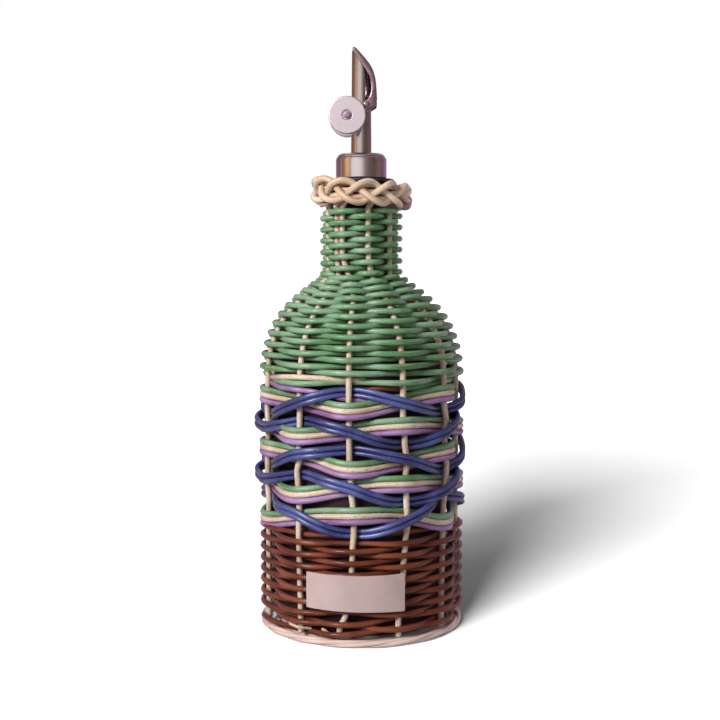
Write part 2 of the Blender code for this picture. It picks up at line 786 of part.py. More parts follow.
def lid_outline():
    """Side view of the lid: down its outer face, then back up the face against the mouth."""
    tip_x = -LID_TIP_SHARE * tip_radius
    inner_x = lid_front - LID_THICKNESS
    outline = [(tip_x, above_mouth(tip_x, LID_GAP + LID_THICKNESS))]
    outline += lid_bend(lid_front, LID_GAP + LID_THICKNESS, LID_BEND_RADIUS)
    outline += [(lid_front, lid_foot), (inner_x, lid_foot)]
    outline += lid_bend(inner_x, LID_GAP, LID_INNER_BEND_RADIUS)[::-1]
    outline.append((tip_x - LID_THICKNESS, above_mouth(tip_x - LID_THICKNESS, LID_GAP)))
    return outline


def arm_outline():
    """Side view of an arm: round the weights' pin, under the studs and up along the lid's edge."""
    tongue_x = lid_front - ARM_TONGUE
    tongue_top = lid_bend(lid_front, LID_GAP + LID_THICKNESS, LID_BEND_RADIUS)[-1][1]
    neck = hinge_height + ARM_NECK_SHARE * (tongue_top - hinge_height)
    eye = arc_points(pin_x, pin_height, EYE_RADIUS, math.pi / 2, 3 * math.pi / 2, EYE_POINTS)
    return eye + [
        (SPOUT_RADIUS, hinge_height - 2 * STUD_HEAD_RADIUS),
        (lid_front - ARM_HEEL_INSET, hinge_height - ARM_HEEL_DROP),
        (lid_front, lid_foot),
        (lid_front, tongue_top),
        (tongue_x, tongue_top),
        (tongue_x, neck),
        (-ARM_SHELF_BACK, hinge_height + ARM_SHELF_RISE),
    ]


def make_flap(holder):
    width = 2 * (arm_inside + ARM_WELD)
    lid = as_mesh(flat_plate("flap", [lid_outline()], width, 0.0, "steel"), "steel")
    pin_hole = ring_points(pin_x, pin_height, PIN_RADIUS + PIN_GAP, HOLE_POINTS)
    stud_hole = ring_points(HINGE_X, hinge_height, STUD_RADIUS + STUD_GAP, HOLE_POINTS)
    middle = arm_inside + ARM_THICKNESS / 2
    for name, side in (("near_arm", -1), ("far_arm", 1)):
        outlines = [arm_outline(), pin_hole, stud_hole]
        plate = flat_plate(name, outlines, ARM_THICKNESS, side * middle, "steel")
        arm = as_mesh(plate, "steel")
        as_cutter(arm)
        apply_tool(lid, arm, "UNION")
    carry(lid, holder)


def make_weights(holder):
    bore = PIN_RADIUS + PIN_GAP
    for name, side in (("weight_near", -1), ("weight_far", 1)):
        outline = [
            (bore, weight_outside),
            (WEIGHT_RADIUS - WEIGHT_CHAMFER, weight_outside),
            (WEIGHT_RADIUS, weight_outside - WEIGHT_CHAMFER),
            (WEIGHT_RADIUS, weight_inside + WEIGHT_CHAMFER),
            (WEIGHT_RADIUS - WEIGHT_CHAMFER, weight_inside),
            (bore, weight_inside),
        ]
        disc = turned(name, outline, ROUND_SEGMENTS * 2, "pale_steel")
        disc.rotation_euler.x = side * -math.pi / 2
        disc.location = (pin_x, 0.0, pin_height)
        bpy.context.view_layer.update()
        carry(disc, holder)
    inner = weight_outside + PIN_GAP
    outer = inner + PIN_HEAD_THICKNESS
    sections = [
        (0.0, outer),
        (PIN_HEAD_RADIUS, outer),
        (PIN_HEAD_RADIUS, inner),
        (PIN_RADIUS, inner),
        (PIN_RADIUS, -inner),
        (PIN_HEAD_RADIUS, -inner),
        (PIN_HEAD_RADIUS, -outer),
        (0.0, -outer),
    ]
    pin = cross_pin("weight_pin", pin_x, pin_height, sections, "steel")
    bpy.context.view_layer.update()
    carry(pin, holder)


def main():
    make_glass()
    make_stakes()
    make_weavers()
    make_bands()
    make_rim()
    make_foot()
    make_label()
    pourer_base = add_pivot("pourer_base", (0.0, 0.0, flange_bottom))
    flap_pivot = add_pivot("flap_pivot", (HINGE_X, 0.0, hinge_height))
    carry(flap_pivot, pourer_base)
    make_stopper(pourer_base)
    make_collar(pourer_base)
    make_spout(pourer_base)
    make_studs(pourer_base)
    make_flap(flap_pivot)
    make_weights(flap_pivot)
    bpy.context.view_layer.update()


main()
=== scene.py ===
import json
import math
import random

import bmesh
import bpy
import numpy as np
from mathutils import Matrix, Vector, noise

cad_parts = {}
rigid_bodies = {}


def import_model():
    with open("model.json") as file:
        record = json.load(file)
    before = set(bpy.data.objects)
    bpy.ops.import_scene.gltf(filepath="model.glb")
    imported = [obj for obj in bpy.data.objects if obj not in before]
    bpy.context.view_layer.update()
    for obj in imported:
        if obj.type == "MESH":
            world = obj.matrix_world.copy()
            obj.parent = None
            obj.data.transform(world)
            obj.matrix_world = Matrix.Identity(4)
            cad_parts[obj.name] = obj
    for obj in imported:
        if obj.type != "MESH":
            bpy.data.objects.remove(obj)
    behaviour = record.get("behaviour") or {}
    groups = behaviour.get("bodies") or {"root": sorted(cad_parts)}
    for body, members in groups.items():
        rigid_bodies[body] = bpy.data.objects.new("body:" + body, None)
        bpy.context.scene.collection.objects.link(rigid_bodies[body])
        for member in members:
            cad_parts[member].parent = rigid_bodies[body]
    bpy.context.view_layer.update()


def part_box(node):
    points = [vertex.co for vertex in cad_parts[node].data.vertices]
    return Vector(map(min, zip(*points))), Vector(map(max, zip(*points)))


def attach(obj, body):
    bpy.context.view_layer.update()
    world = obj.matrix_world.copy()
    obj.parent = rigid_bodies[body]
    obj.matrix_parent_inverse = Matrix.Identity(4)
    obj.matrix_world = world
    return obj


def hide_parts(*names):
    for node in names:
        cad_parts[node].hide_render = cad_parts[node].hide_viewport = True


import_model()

# An oil bottle in a woven jacket, seen as in the photograph. Lengths are millimetres unless noted, and
# turns go round the bottle from the label's side (-Y) towards the spout's side (+X).
millimetre = 0.001
fullTurn = 2 * math.pi
seeds = random.Random(11)
scene = bpy.context.scene

# What the stakes and all the strands follow
jacket = {
    "bodyLine": 37.8,       # radius of the stakes' centre line on the body
    "neckLine": 13.0,
    "shoulderFoot": 98.0,
    "neckFoot": 141.0,
    "lowerHandle": 0.78,    # reach of the shoulder curve's handles
    "upperHandle": 0.20,
    "lineSteps": 96,
    "bottom": 3.2,
    "top": 171.2,
    "stakes": 11,
    "firstTurn": math.radians(-74.5),
    # how far each stake is off its place on the body and in the neck, in steps from stake to stake
    "bodyShares": (-0.08, 0.12, 0.06, 0.02, 0.02, 0, 0, 0, 0, 0, 0),
    "neckShares": (-0.17, -0.12, -0.77, -0.36, 0.02, 0.18, 0.25, 0.33, -0.32, -0.22, -0.18),
    "gatherDrop": 12.0,     # they gather from this far below the neck's foot to this far above it
    "gatherRise": 9.0,
    "swing": 2.25,          # how far a weaver stands from the stakes' line
    "paired": (2, 8),       # stakes passed together with the one before them, in the neck
    "pairDrop": 4.0,
    "lean": 0.5,            # the green rows hang lower on the right
    "leanFoot": 105.0,
    "lift": 1.4,            # and are lifted on the shoulder
    "liftFade": 12.0,
    "liftReach": 9.0,
    "outerDrop": 1.9,       # the most that an outer pass sits lower there
    "wanderRound": 3.1,     # how fast a strand's wander changes, round the bottle and up it
    "wanderUp": 0.31,
    "passSteps": 9,         # points from a stake to the next
    "slopeReach": 0.6,      # how far round a point the line's slope and its tilt are read
    "tiltReach": 1.0,
    "flattest": 0.05,
    "hold": 1.5,            # power by which a strand stays near a stake
}

# Degrees that a stake wanders from its place, by height
stakeWander = {
    0: ((98, 0), (86, -2.5), (79, 1.0), (66, -3.0), (57, -3.5), (50, 1.5), (40, 0)),
    1: ((98, 0), (85, -0.3), (70, -0.8), (66, -2.4), (58, -1.4), (51, -0.8), (42, -1.4), (30, -0.8), (12, 0)),
    2: ((98, 0), (74, 0.2), (60, 1.2), (53, 2.4), (45, 2.8), (36, 2.0), (24, 1.4), (12, -2.0), (7, -5.5)),
    3: ((98, 0), (88, 0), (78, 1.1), (70, 2.7), (64, 1.8), (55, 2.3), (47, 3.2), (39, 1.6), (28, 0.4),
        (9, -2.6)),
    4: ((98, 0), (90, 0.7), (84, 3.0), (79, 0.4), (72, 2.2), (66, 4.1), (58, 2.6), (50, 0), (40, -0.5),
        (14, -2)),
    6: ((98, 0), (84, 1.8), (62, -2.2), (48, 1.0), (20, 0)),
    8: ((98, 0), (88, -1.6), (70, 2.0), (52, -1.5), (24, 0.8)),
    10: ((98, 0), (80, 1.6), (64, -2.0), (46, 1.0), (18, -0.6)),
}


def pick(looks, *keys):
    return [looks[key] for key in keys]


def smoothStep(value):
    value = min(max(value, 0.0), 1.0)
    return value * value * (3 - 2 * value)


def readTable(table, height):
    # the table runs from its highest row to its lowest
    if height >= table[0][0]:
        return table[0][1]
    for (high, above), (low, below) in zip(table, table[1:]):
        if height >= low:
            return below + (above - below) * smoothStep((height - low) / (high - low))
    return table[-1][1]


def stakeTurn(number, height):
    reach = jacket["gatherDrop"] + jacket["gatherRise"]
    gathered = smoothStep((height - jacket["neckFoot"] + jacket["gatherDrop"]) / reach)
    rounds, stake = divmod(number, jacket["stakes"])
    body, neck = jacket["bodyShares"][stake], jacket["neckShares"][stake]
    step = fullTurn / jacket["stakes"]
    turn = jacket["firstTurn"] + (stake + body + gathered * (neck - body)) * step + rounds * fullTurn
    if stake in stakeWander:
        turn += math.radians(readTable(stakeWander[stake], height))
    return turn


def shoulderPoint(share):
    body, neck, foot, top = pick(jacket, "bodyLine", "neckLine", "shoulderFoot", "neckFoot")
    rise = top - foot
    knots = ((body, foot), (body, foot + jacket["lowerHandle"] * rise),
             (neck, top - jacket["upperHandle"] * rise), (neck, top))
    rest = 1 - share
    weights = (rest ** 3, 3 * rest ** 2 * share, 3 * rest * share ** 2, share ** 3)
    return tuple(sum(weight * knot[axis] for weight, knot in zip(weights, knots)) for axis in (0, 1))


# The stakes' line by distance along it from its lower end
line = [(jacket["bodyLine"], jacket["bottom"])]
line += [shoulderPoint(i / jacket["lineSteps"]) for i in range(jacket["lineSteps"] + 1)]
line.append((jacket["neckLine"], jacket["top"]))
lineRadii, lineHeights = (np.array(values) for values in zip(*line))
lineLengths = np.concatenate([[0], np.cumsum(np.hypot(np.diff(lineRadii), np.diff(lineHeights)))])


def lengthAt(height):
    return float(np.interp(height, lineHeights, lineLengths))


def readLine(length):
    return tuple(float(np.interp(length, lineLengths, values)) for values in (lineRadii, lineHeights))


def lineSlope(length, reach):
    # how far the line runs outwards and upwards round a length
    before, after = readLine(max(length - reach, 0.0)), readLine(min(length + reach, float(lineLengths[-1])))
    return after[0] - before[0], after[1] - before[1]


def lineAt(length, out=0.0):
    radius, height = readLine(length)
    outwards, upwards = lineSlope(length, jacket["slopeReach"])
    run = math.hypot(outwards, upwards)
    return radius + out * upwards / run, height - out * outwards / run


def lineTilt(length):
    # tangent of the stakes' lean towards the axis
    outwards, upwards = lineSlope(length, jacket["tiltReach"])
    return -outwards / max(upwards, jacket["flattest"])


def place(turn, radius, height):
    return (radius * math.sin(turn), -radius * math.cos(turn), height)


def through(a, b, c, d, share):
    # smooth curve through b and c
    return 0.5 * (2 * b + (c - a) * share + (2 * a - 5 * b + 4 * c - d) * share ** 2
                  + (3 * b - a - 3 * c + d) * share ** 3)


def curveThrough(points, steps):
    dense = []
    last = len(points) - 1
    for i in range(last):
        around = [points[min(max(i + k, 0), last)] for k in (-1, 0, 1, 2)]
        dense += [tuple(through(*values, step / steps) for values in zip(*around)) for step in range(steps)]
    return dense + [points[-1]]


def sideBetween(here, there, share, hold):
    # hold 1 or -1: the strand stays near its outer or inner stake for longer
    if here == there:
        return here
    if hold:
        fromHeld = (here > there) == (hold > 0)
        share = share ** jacket["hold"] if fromHeld else 1 - (1 - share) ** jacket["hold"]
    return here + (there - here) * (1 - math.cos(math.pi * share)) / 2


def waver(*spot):
    # smooth noise between -1 and 1
    return noise.noise(Vector(spot))


def wander(turn, height, amount, seed):
    reach = jacket["wanderRound"]
    return amount * waver(reach * math.cos(turn) + seed, reach * math.sin(turn), jacket["wanderUp"] * height)


def weavePath(knots, steps, closed=False, hold=0, loose=0.12, seed=0.0, leaning=False, swing=None, out=None,
              bulges=None, peak=0.0):
    # points of a strand through its passes, each a turn, a length up the stakes' line and a side
    swing = swing or jacket["swing"]
    out = out or swing
    count = len(knots)
    gaps = count if closed else count - 1
    points, sides = [], []

    def knot(number):
        if closed:
            rounds, stake = divmod(number, count)
            return knots[stake][0] + rounds * fullTurn, knots[stake][1], knots[stake][2]
        return knots[min(max(number, 0), count - 1)]

    for gap in range(gaps):
        a, b, c, d = (knot(gap + i) for i in (-1, 0, 1, 2))
        last = 1 if not closed and gap == gaps - 1 else 0
        for step in range(steps + last):
            share = step / steps
            turn = b[0] + (c[0] - b[0]) * share
            length = through(a[1], b[1], c[1], d[1], share) + wander(turn, b[1], loose, seed)
            towards = 1 if abs(2 * c[1] - b[1] - d[1]) > abs(2 * b[1] - a[1] - c[1]) else -1
            length += towards * peak * (c[1] - b[1]) * 4 * share * (1 - share)
            if leaning:
                height = readLine(length)[1]
                below, above = jacket["neckFoot"] - height, height - jacket["shoulderFoot"]
                fade = below / (jacket["neckFoot"] - jacket["leanFoot"])
                length -= jacket["lean"] * min(max(fade, 0.0), 1.0) * math.sin(turn)
                lifted = jacket["lift"] * smoothStep(below / jacket["liftFade"])
                length += lifted * smoothStep(above / jacket["liftReach"])
            side = sideBetween(b[2], c[2], share, hold)
            reach = side * (out if side > 0 else swing)
            if leaning:
                # on the shoulder an outer pass sits lower, so that the rows stay level
                length -= side * min(swing * lineTilt(length), jacket["outerDrop"])
            if bulges and gap in bulges:
                reach += bulges[gap] * math.sin(math.pi * share) ** 2
            points.append(place(turn, *lineAt(length, reach)))
            sides.append(side)
    return points, sides


def addPiece(name, mesh, body, finish, *nodes):
    made = bpy.data.objects.new(name, mesh)
    scene.collection.objects.link(made)
    mesh.materials.append(materials[finish])
    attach(made, body)
    if nodes:
        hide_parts(*nodes)
    return made


roundEnd = {"reaches": (0.35, 0.62, 0.80), "full": 0.82}    # rings of a strand's end, in its radius


def sweepTube(name, points, radii, closed=False, sides=10):
    # tube along the points, its seam turned inwards, with the length along it as V in centimetres
    path = np.array(points, dtype=float)
    radii = np.broadcast_to(np.array(radii, dtype=float), (len(path),)).copy()
    if not closed:
        for end, beside in ((0, 1), (-1, -2)):
            away = path[end] - path[beside]
            away /= np.linalg.norm(away)
            caps, sizes = [], []
            for reach in roundEnd["reaches"]:
                caps.append(path[end] + away * radii[end] * reach)
                sizes.append(radii[end] * math.sqrt(max(1 - (reach / roundEnd["full"]) ** 2, 0.01)))
            if end == 0:
                path, radii = np.vstack([caps[::-1], path]), np.concatenate([sizes[::-1], radii])
            else:
                path, radii = np.vstack([path, caps]), np.concatenate([radii, sizes])
        ahead = np.gradient(path, axis=0)
    else:
        ahead = np.roll(path, -1, axis=0) - np.roll(path, 1, axis=0)
    ahead /= np.linalg.norm(ahead, axis=1)[:, None]
    inward = -path * np.array([1.0, 1.0, 0.0]) + np.array([1e-6, 0, 0])
    inward /= np.linalg.norm(inward, axis=1)[:, None]
    inward -= ahead * np.sum(inward * ahead, axis=1)[:, None]
    inward /= np.linalg.norm(inward, axis=1)[:, None]
    across = np.cross(ahead, inward)
    angles = fullTurn * np.arange(sides) / sides
    ring = (np.cos(angles)[None, :, None] * inward[:, None, :]
            + np.sin(angles)[None, :, None] * across[:, None, :])
    corners = (path[:, None, :] + radii[:, None, None] * ring).reshape(-1, 3) * millimetre
    count = len(path)
    along = np.concatenate([[0], np.cumsum(np.linalg.norm(np.diff(path, axis=0), axis=1))]) / 10
    along += seeds.uniform(0, 40)
    faces, uvs = [], []
    for i in range(count if closed else count - 1):
        after = (i + 1) % count
        v0, v1 = along[i], along[i] + float(np.linalg.norm(path[after] - path[i])) / 10
        for j in range(sides):
            beside = (j + 1) % sides
            faces.append((i * sides + j, i * sides + beside, after * sides + beside, after * sides + j))
            u0, u1 = j / sides, (j + 1) / sides
            uvs += [(u0, v0), (u1, v0), (u1, v1), (u0, v1)]
    if not closed:
        faces += [tuple(range(sides - 1, -1, -1)), tuple((count - 1) * sides + j for j in range(sides))]
        uvs += [(0.5, along[0])] * sides + [(0.5, along[-1])] * sides
    mesh = bpy.data.meshes.new(name)
    mesh.from_pydata(corners.tolist(), [], faces)
    layer = mesh.uv_layers.new(name="UVMap")
    layer.data.foreach_set("uv", np.array(uvs, dtype=np.float32).ravel())
    mesh.polygons.foreach_set("use_smooth", [True] * len(mesh.polygons))
    mesh.update()
    return mesh


def layStrand(name, points, radii, finish, *nodes, **shape):
    addPiece(name, sweepTube(name, points, radii, **shape), "bottle", finish, *nodes)


def strandRadii(sides, radius, swell):
    # a strand is a little thicker where it passes outside
    return [radius + swell * side for side in sides]


def smoothByAngle(mesh, degrees):
    shape = bmesh.new()
    shape.from_mesh(mesh)
    bmesh.ops.remove_doubles(shape, verts=shape.verts, dist=1e-7)
    bmesh.ops.recalc_face_normals(shape, faces=shape.faces)
    for edge in shape.edges:
        if len(edge.link_faces) == 2:
            edge.smooth = edge.calc_face_angle(0.0) < math.radians(degrees)
    for face in shape.faces:
        face.smooth = True
    shape.to_mesh(mesh)
    shape.free()
    mesh.update()


def meshFrom(name, shape, degrees=None):
    mesh = bpy.data.meshes.new(name)
    shape.to_mesh(mesh)
    shape.free()
    if degrees:
        smoothByAngle(mesh, degrees)
    return mesh


def newCorner(shape, spot):
    return shape.verts.new([value * millimetre for value in spot])


def lathe(name, outline, segments=96, centre=(0, 0, 0), axis="z", closed=False, degrees=40):
    # turned mesh from (radius, height) points, where the axis z stands up and y runs across
    shape = bmesh.new()
    layer = shape.loops.layers.uv.new("UVMap")
    rings = []
    for radius, height in outline:
        turns = [0.0] if radius < 1e-6 else [fullTurn * i / segments for i in range(segments)]
        spots = [(radius * math.cos(t), radius * math.sin(t), height) for t in turns]
        if axis == "y":
            spots = [(x, -z, y) for x, y, z in spots]
        rings.append([newCorner(shape, [p + c for p, c in zip(spot, centre)]) for spot in spots])
    runs = [0.0]
    for here, there in zip(outline, outline[1:] + outline[:1]):
        runs.append(runs[-1] + math.hypot(there[0] - here[0], there[1] - here[1]) / 10)
    pairs = list(zip(rings, rings[1:])) + ([(rings[-1], rings[0])] if closed else [])
    for number, (here, there) in enumerate(pairs):
        for i in range(segments):
            j = (i + 1) % segments
            low = [here[0]] if len(here) == 1 else [here[i], here[j]]
            high = [there[0]] if len(there) == 1 else [there[j], there[i]]
            if len(low) + len(high) < 3:
                continue
            following = (low[-1], high[0]) if len(low) + len(high) == 4 else ()
            for loop in shape.faces.new(low + high).loops:
                u = i + 1 if loop.vert in following else i
                loop[layer].uv = (u / segments, runs[number] if loop.vert in low else runs[number + 1])
    return meshFrom(name, shape, degrees)


def layTurned(name, outline, body, finish, cad, **shape):
    return addPiece(name, lathe(name, outline, **shape), body, finish, cad)


def arc(centreX, centreZ, radius, first, last, steps):
    turns = [math.radians(first + (last - first) * i / steps) for i in range(steps + 1)]
    return [(centreX + radius * math.cos(t), centreZ + radius * math.sin(t)) for t in turns]


materials = {}


def fill(tree, made, entries):
    for socket, value in entries.items():
        if isinstance(value, bpy.types.NodeSocket):
            tree.links.new(value, made.inputs[socket])
        else:
            made.inputs[socket].default_value = value


def node(tree, kind, entries=None, **settings):
    made = tree.nodes.new(kind)
    for name, value in settings.items():
        setattr(made, name, value)
    fill(tree, made, entries or {})
    return made


def maths(tree, operation, *values):
    return node(tree, "ShaderNodeMath", dict(enumerate(values)), operation=operation).outputs[0]


def stretch(tree, value, low, high, toLow=0.0, toHigh=1.0):
    entries = {"Value": value, "From Min": low, "From Max": high, "To Min": toLow, "To Max": toHigh}
    return node(tree, "ShaderNodeMapRange", entries, interpolation_type="SMOOTHSTEP").outputs["Result"]


def blend(tree, share, first, second):
    ends = [end if isinstance(end, bpy.types.NodeSocket) else (*end, 1.0) for end in (first, second)]
    return node(tree, "ShaderNodeMix", {0: share, 6: ends[0], 7: ends[1]}, data_type="RGBA").outputs[2]


def noiseAt(tree, where, scale, detail=2.0, roughness=0.5):
    entries = {"Vector": where, "Scale": scale, "Detail": detail, "Roughness": roughness}
    return node(tree, "ShaderNodeTexNoise", entries).outputs["Fac"]


def bumped(tree, height, strength, distance):
    entries = {"Height": height, "Strength": strength, "Distance": distance}
    return node(tree, "ShaderNodeBump", entries).outputs[0]


def newGroup(name, inputs, outputs):
    group = bpy.data.node_groups.new(name, "ShaderNodeTree")
    for title, kind, value in inputs:
        group.interface.new_socket(title, in_out="INPUT", socket_type=kind).default_value = value
    for title in outputs:
        group.interface.new_socket(title, in_out="OUTPUT", socket_type="NodeSocketFloat")
    return group, group.nodes.new("NodeGroupInput").outputs, group.nodes.new("NodeGroupOutput")


usualNoise = (0.3, 0.7)     # the span that a noise texture mostly fills
fibreLook = {"streakSize": 0.9, "streaks": (0.32, 0.68), "flecks": (0.50, 0.70), "patchSize": 70.0,
             "patches": (0.35, 0.65), "fleckHeight": 0.35, "streakHeight": 0.8}


def makeFibreGroup():
    # streaks that run along a strand, fine flecks, broad patches of tone, and their height
    looks = fibreLook
    group, given, sink = newGroup(
        "strandFibre", [("Streaks", "NodeSocketFloat", 9.0), ("Fleck Size", "NodeSocketFloat", 1500.0)],
        ["Streak", "Fleck", "Patch", "Height"])
    where = node(group, "ShaderNodeTexCoord").outputs
    split = node(group, "ShaderNodeSeparateXYZ", {0: where["UV"]}).outputs
    turn = maths(group, "MULTIPLY", split["X"], fullTurn)
    sine = maths(group, "MULTIPLY", maths(group, "SINE", turn), given["Streaks"])
    cosine = maths(group, "MULTIPLY", maths(group, "COSINE", turn), given["Streaks"])
    wrapped = node(group, "ShaderNodeCombineXYZ", {0: sine, 1: cosine, 2: split["Y"]}).outputs[0]
    streak = stretch(group, noiseAt(group, wrapped, looks["streakSize"], 3.0, 0.6), *looks["streaks"])
    fleck = stretch(group, noiseAt(group, where["Object"], given["Fleck Size"]), *looks["flecks"])
    patch = stretch(group, noiseAt(group, where["Object"], looks["patchSize"]), *looks["patches"])
    raised = maths(group, "MULTIPLY", streak, looks["streakHeight"])
    height = maths(group, "MULTIPLY_ADD", fleck, looks["fleckHeight"], raised)
    fill(group, sink, {"Streak": streak, "Fleck": fleck, "Patch": patch, "Height": height})
    return group


brushLook = {"smudgeSize": 160.0, "smudges": (0.4, 0.7)}


def makeBrushGroup():
    # fine lines of brushed metal, and soft smudges
    group, given, sink = newGroup(
        "brushedMetal",
        [("Lines", "NodeSocketVector", (1.0, 1.0, 1.0)), ("Strength", "NodeSocketFloat", 1.0)],
        ["Line", "Smudge"])
    where = node(group, "ShaderNodeTexCoord").outputs["Object"]
    entries = {0: where, 1: given["Lines"]}
    scaled = node(group, "ShaderNodeVectorMath", entries, operation="MULTIPLY").outputs[0]
    lines = stretch(group, noiseAt(group, scaled, 1.0, 3.0), *usualNoise)
    smudge = stretch(group, noiseAt(group, where, brushLook["smudgeSize"], 4.0), *brushLook["smudges"])
    fill(group, sink, {"Line": maths(group, "MULTIPLY", lines, given["Strength"]), "Smudge": smudge})
    return group


fibreGroup = makeFibreGroup()
brushGroup = makeBrushGroup()


def newMaterial(name):
    material = bpy.data.materials.new(name)
    material.use_nodes = True
    materials[name] = material
    return material.node_tree, material.node_tree.nodes["Principled BSDF"]


# What a strand has unless its own looks say otherwise
plainStrand = dict(slot=None, streaks=2.6, fleckSize=1500.0, patchShare=0.62, coatRough=0.25, specular=0.35,
                   # edge and paintedEdge*: the colour and strength of painted shade and a painted mauve
                   # reflection where a strand turns away
                   edge=(0.095, 0.055, 0.085), paintedEdgePower=1.9, paintedEdgeShare=0.68, paintedEdgeBlend=0.35,
                   roughest=0.10, smoothest=-0.04, bump=(0.35, 0.00012))
strandLooks = {
    "green_strand": dict(dark=(0.062, 0.165, 0.055), mid=(0.146, 0.315, 0.135), light=(0.30, 0.46, 0.32),
                         fleck=(0.36, 0.46, 0.35), fleckShare=0.34, rough=0.36, coat=0.28, coatRough=0.22,
                         specular=0.22),
    "cream_strand": dict(dark=(0.48, 0.33, 0.23), mid=(0.69, 0.53, 0.40), light=(0.80, 0.68, 0.55),
                         fleck=(0.36, 0.24, 0.19), fleckShare=0.60, rough=0.52, coat=0.05),
    "purple_strand": dict(dark=(0.15, 0.065, 0.18), mid=(0.33, 0.165, 0.385), light=(0.47, 0.29, 0.54),
                          fleck=(0.50, 0.32, 0.55), fleckShare=0.16, rough=0.40, coat=0.20, specular=0.25),
    "blue_strand": dict(dark=(0.022, 0.024, 0.105), mid=(0.052, 0.060, 0.230), light=(0.125, 0.155, 0.44),
                        fleck=(0.20, 0.25, 0.54), fleckShare=0.22, rough=0.32, coat=0.55, coatRough=0.27,
                        # its edge colour is painted shade, dark navy where the strand turns away
                        specular=0.30, edge=(0.008, 0.006, 0.026), paintedEdgePower=0.95, paintedEdgeShare=1.0),
    "brown_strand": dict(dark=(0.068, 0.012, 0.006), mid=(0.170, 0.035, 0.013), light=(0.28, 0.078, 0.038),
                         fleck=(0.09, 0.028, 0.020), fleckShare=0.26, rough=0.30, coat=0.28, coatRough=0.19,
                         specular=0.12),
    "pink_strand": dict(dark=(0.56, 0.36, 0.29), mid=(0.70, 0.53, 0.48), light=(0.80, 0.67, 0.60),
                        fleck=(0.62, 0.36, 0.34), fleckShare=0.22, rough=0.55, coat=0.05),
    "roseStrand": dict(slot="purple_strand", dark=(0.22, 0.08, 0.12), mid=(0.36, 0.17, 0.20),
                       light=(0.52, 0.32, 0.34), fleck=(0.62, 0.42, 0.44), fleckShare=0.5, rough=0.50,
                       coat=0.08),
    "rimStrand": dict(slot="cream_strand", dark=(0.54, 0.36, 0.22), mid=(0.74, 0.56, 0.41),
                      light=(0.84, 0.70, 0.56), fleck=(0.62, 0.32, 0.30), fleckShare=0.26, rough=0.52,
                      coat=0.08),
}


def makeStrandMaterial(name, looks):
    looks = {**plainStrand, **looks}
    tree, shader = newMaterial(name)
    given = {"Streaks": looks["streaks"], "Fleck Size": looks["fleckSize"]}
    fibre = node(tree, "ShaderNodeGroup", given, node_tree=fibreGroup).outputs
    tone = blend(tree, fibre["Streak"], looks["dark"], looks["mid"])
    tone = blend(tree, maths(tree, "MULTIPLY", fibre["Patch"], looks["patchShare"]), tone, looks["light"])
    tone = blend(tree, maths(tree, "MULTIPLY", fibre["Fleck"], looks["fleckShare"]), tone, looks["fleck"])
    # painted shade and a painted mauve reflection: strands go darker and mauve where they turn away from the
    # view, also between the rows
    facing = node(tree, "ShaderNodeLayerWeight", {"Blend": looks["paintedEdgeBlend"]}).outputs["Facing"]
    edge = maths(tree, "MULTIPLY", maths(tree, "POWER", facing, looks["paintedEdgePower"]), looks["paintedEdgeShare"])
    rough, smooth = looks["rough"] + looks["roughest"], looks["rough"] + looks["smoothest"]
    fill(tree, shader, {
        "Base Color": blend(tree, edge, tone, looks["edge"]),
        "Roughness": stretch(tree, fibre["Streak"], 0.0, 1.0, rough, smooth),
        "Normal": bumped(tree, fibre["Height"], *looks["bump"]),
        "Coat Weight": looks["coat"],
        "Coat Roughness": looks["coatRough"],
        "Specular IOR Level": looks["specular"],
    })


metalBump = (0.06, 0.00005)
metalLooks = {
    "steel": dict(lines=(90.0, 90.0, 9000.0), colour=(0.55, 0.53, 0.51), smudge=(0.46, 0.44, 0.42),
                  rough=0.17, spread=0.07),
    "lidSteel": dict(slot="steel", lines=(90.0, 90.0, 6000.0), colour=(0.35, 0.25, 0.29),
                     smudge=(0.25, 0.17, 0.20), rough=0.24, spread=0.14),
    "collarSteel": dict(slot="steel", lines=(60.0, 60.0, 7000.0), colour=(0.70, 0.69, 0.68),
                        smudge=(0.58, 0.57, 0.58), rough=0.09, spread=0.08),
    "pale_steel": dict(lines=(5200.0, 60.0, 5200.0), colour=(0.67, 0.605, 0.65), smudge=(0.61, 0.555, 0.60),
                       rough=0.50, spread=0.10),
    "pinSteel": dict(slot="steel", lines=(4000.0, 60.0, 4000.0), colour=(0.40, 0.28, 0.39),
                     smudge=(0.34, 0.23, 0.33), rough=0.60, spread=0.10),
}


def makeMetalMaterial(name, looks):
    tree, shader = newMaterial(name)
    brush = node(tree, "ShaderNodeGroup", {"Lines": looks["lines"]}, node_tree=brushGroup).outputs
    mixed = maths(tree, "MULTIPLY_ADD", brush["Smudge"], 0.5, maths(tree, "MULTIPLY", brush["Line"], 0.5))
    fill(tree, shader, {
        "Base Color": blend(tree, brush["Smudge"], looks["colour"], looks["smudge"]),
        "Roughness": stretch(tree, mixed, 0.0, 1.0, looks["rough"], looks["rough"] + looks["spread"]),
        "Normal": bumped(tree, brush["Line"], *metalBump),
        "Metallic": 1.0,
    })


hideLooks = dict(dark=(0.475, 0.350, 0.342), light=(0.515, 0.385, 0.374), speck=(0.36, 0.25, 0.255),
                 speckShare=0.30, rough=(0.52, 0.70), specular=0.35, bump=(0.30, 0.00008), poreSize=2300.0,
                 grainSize=3400.0, cloudSize=120.0, clouds=(0.35, 0.68), grains=(0.52, 0.72), poreDepth=0.7)


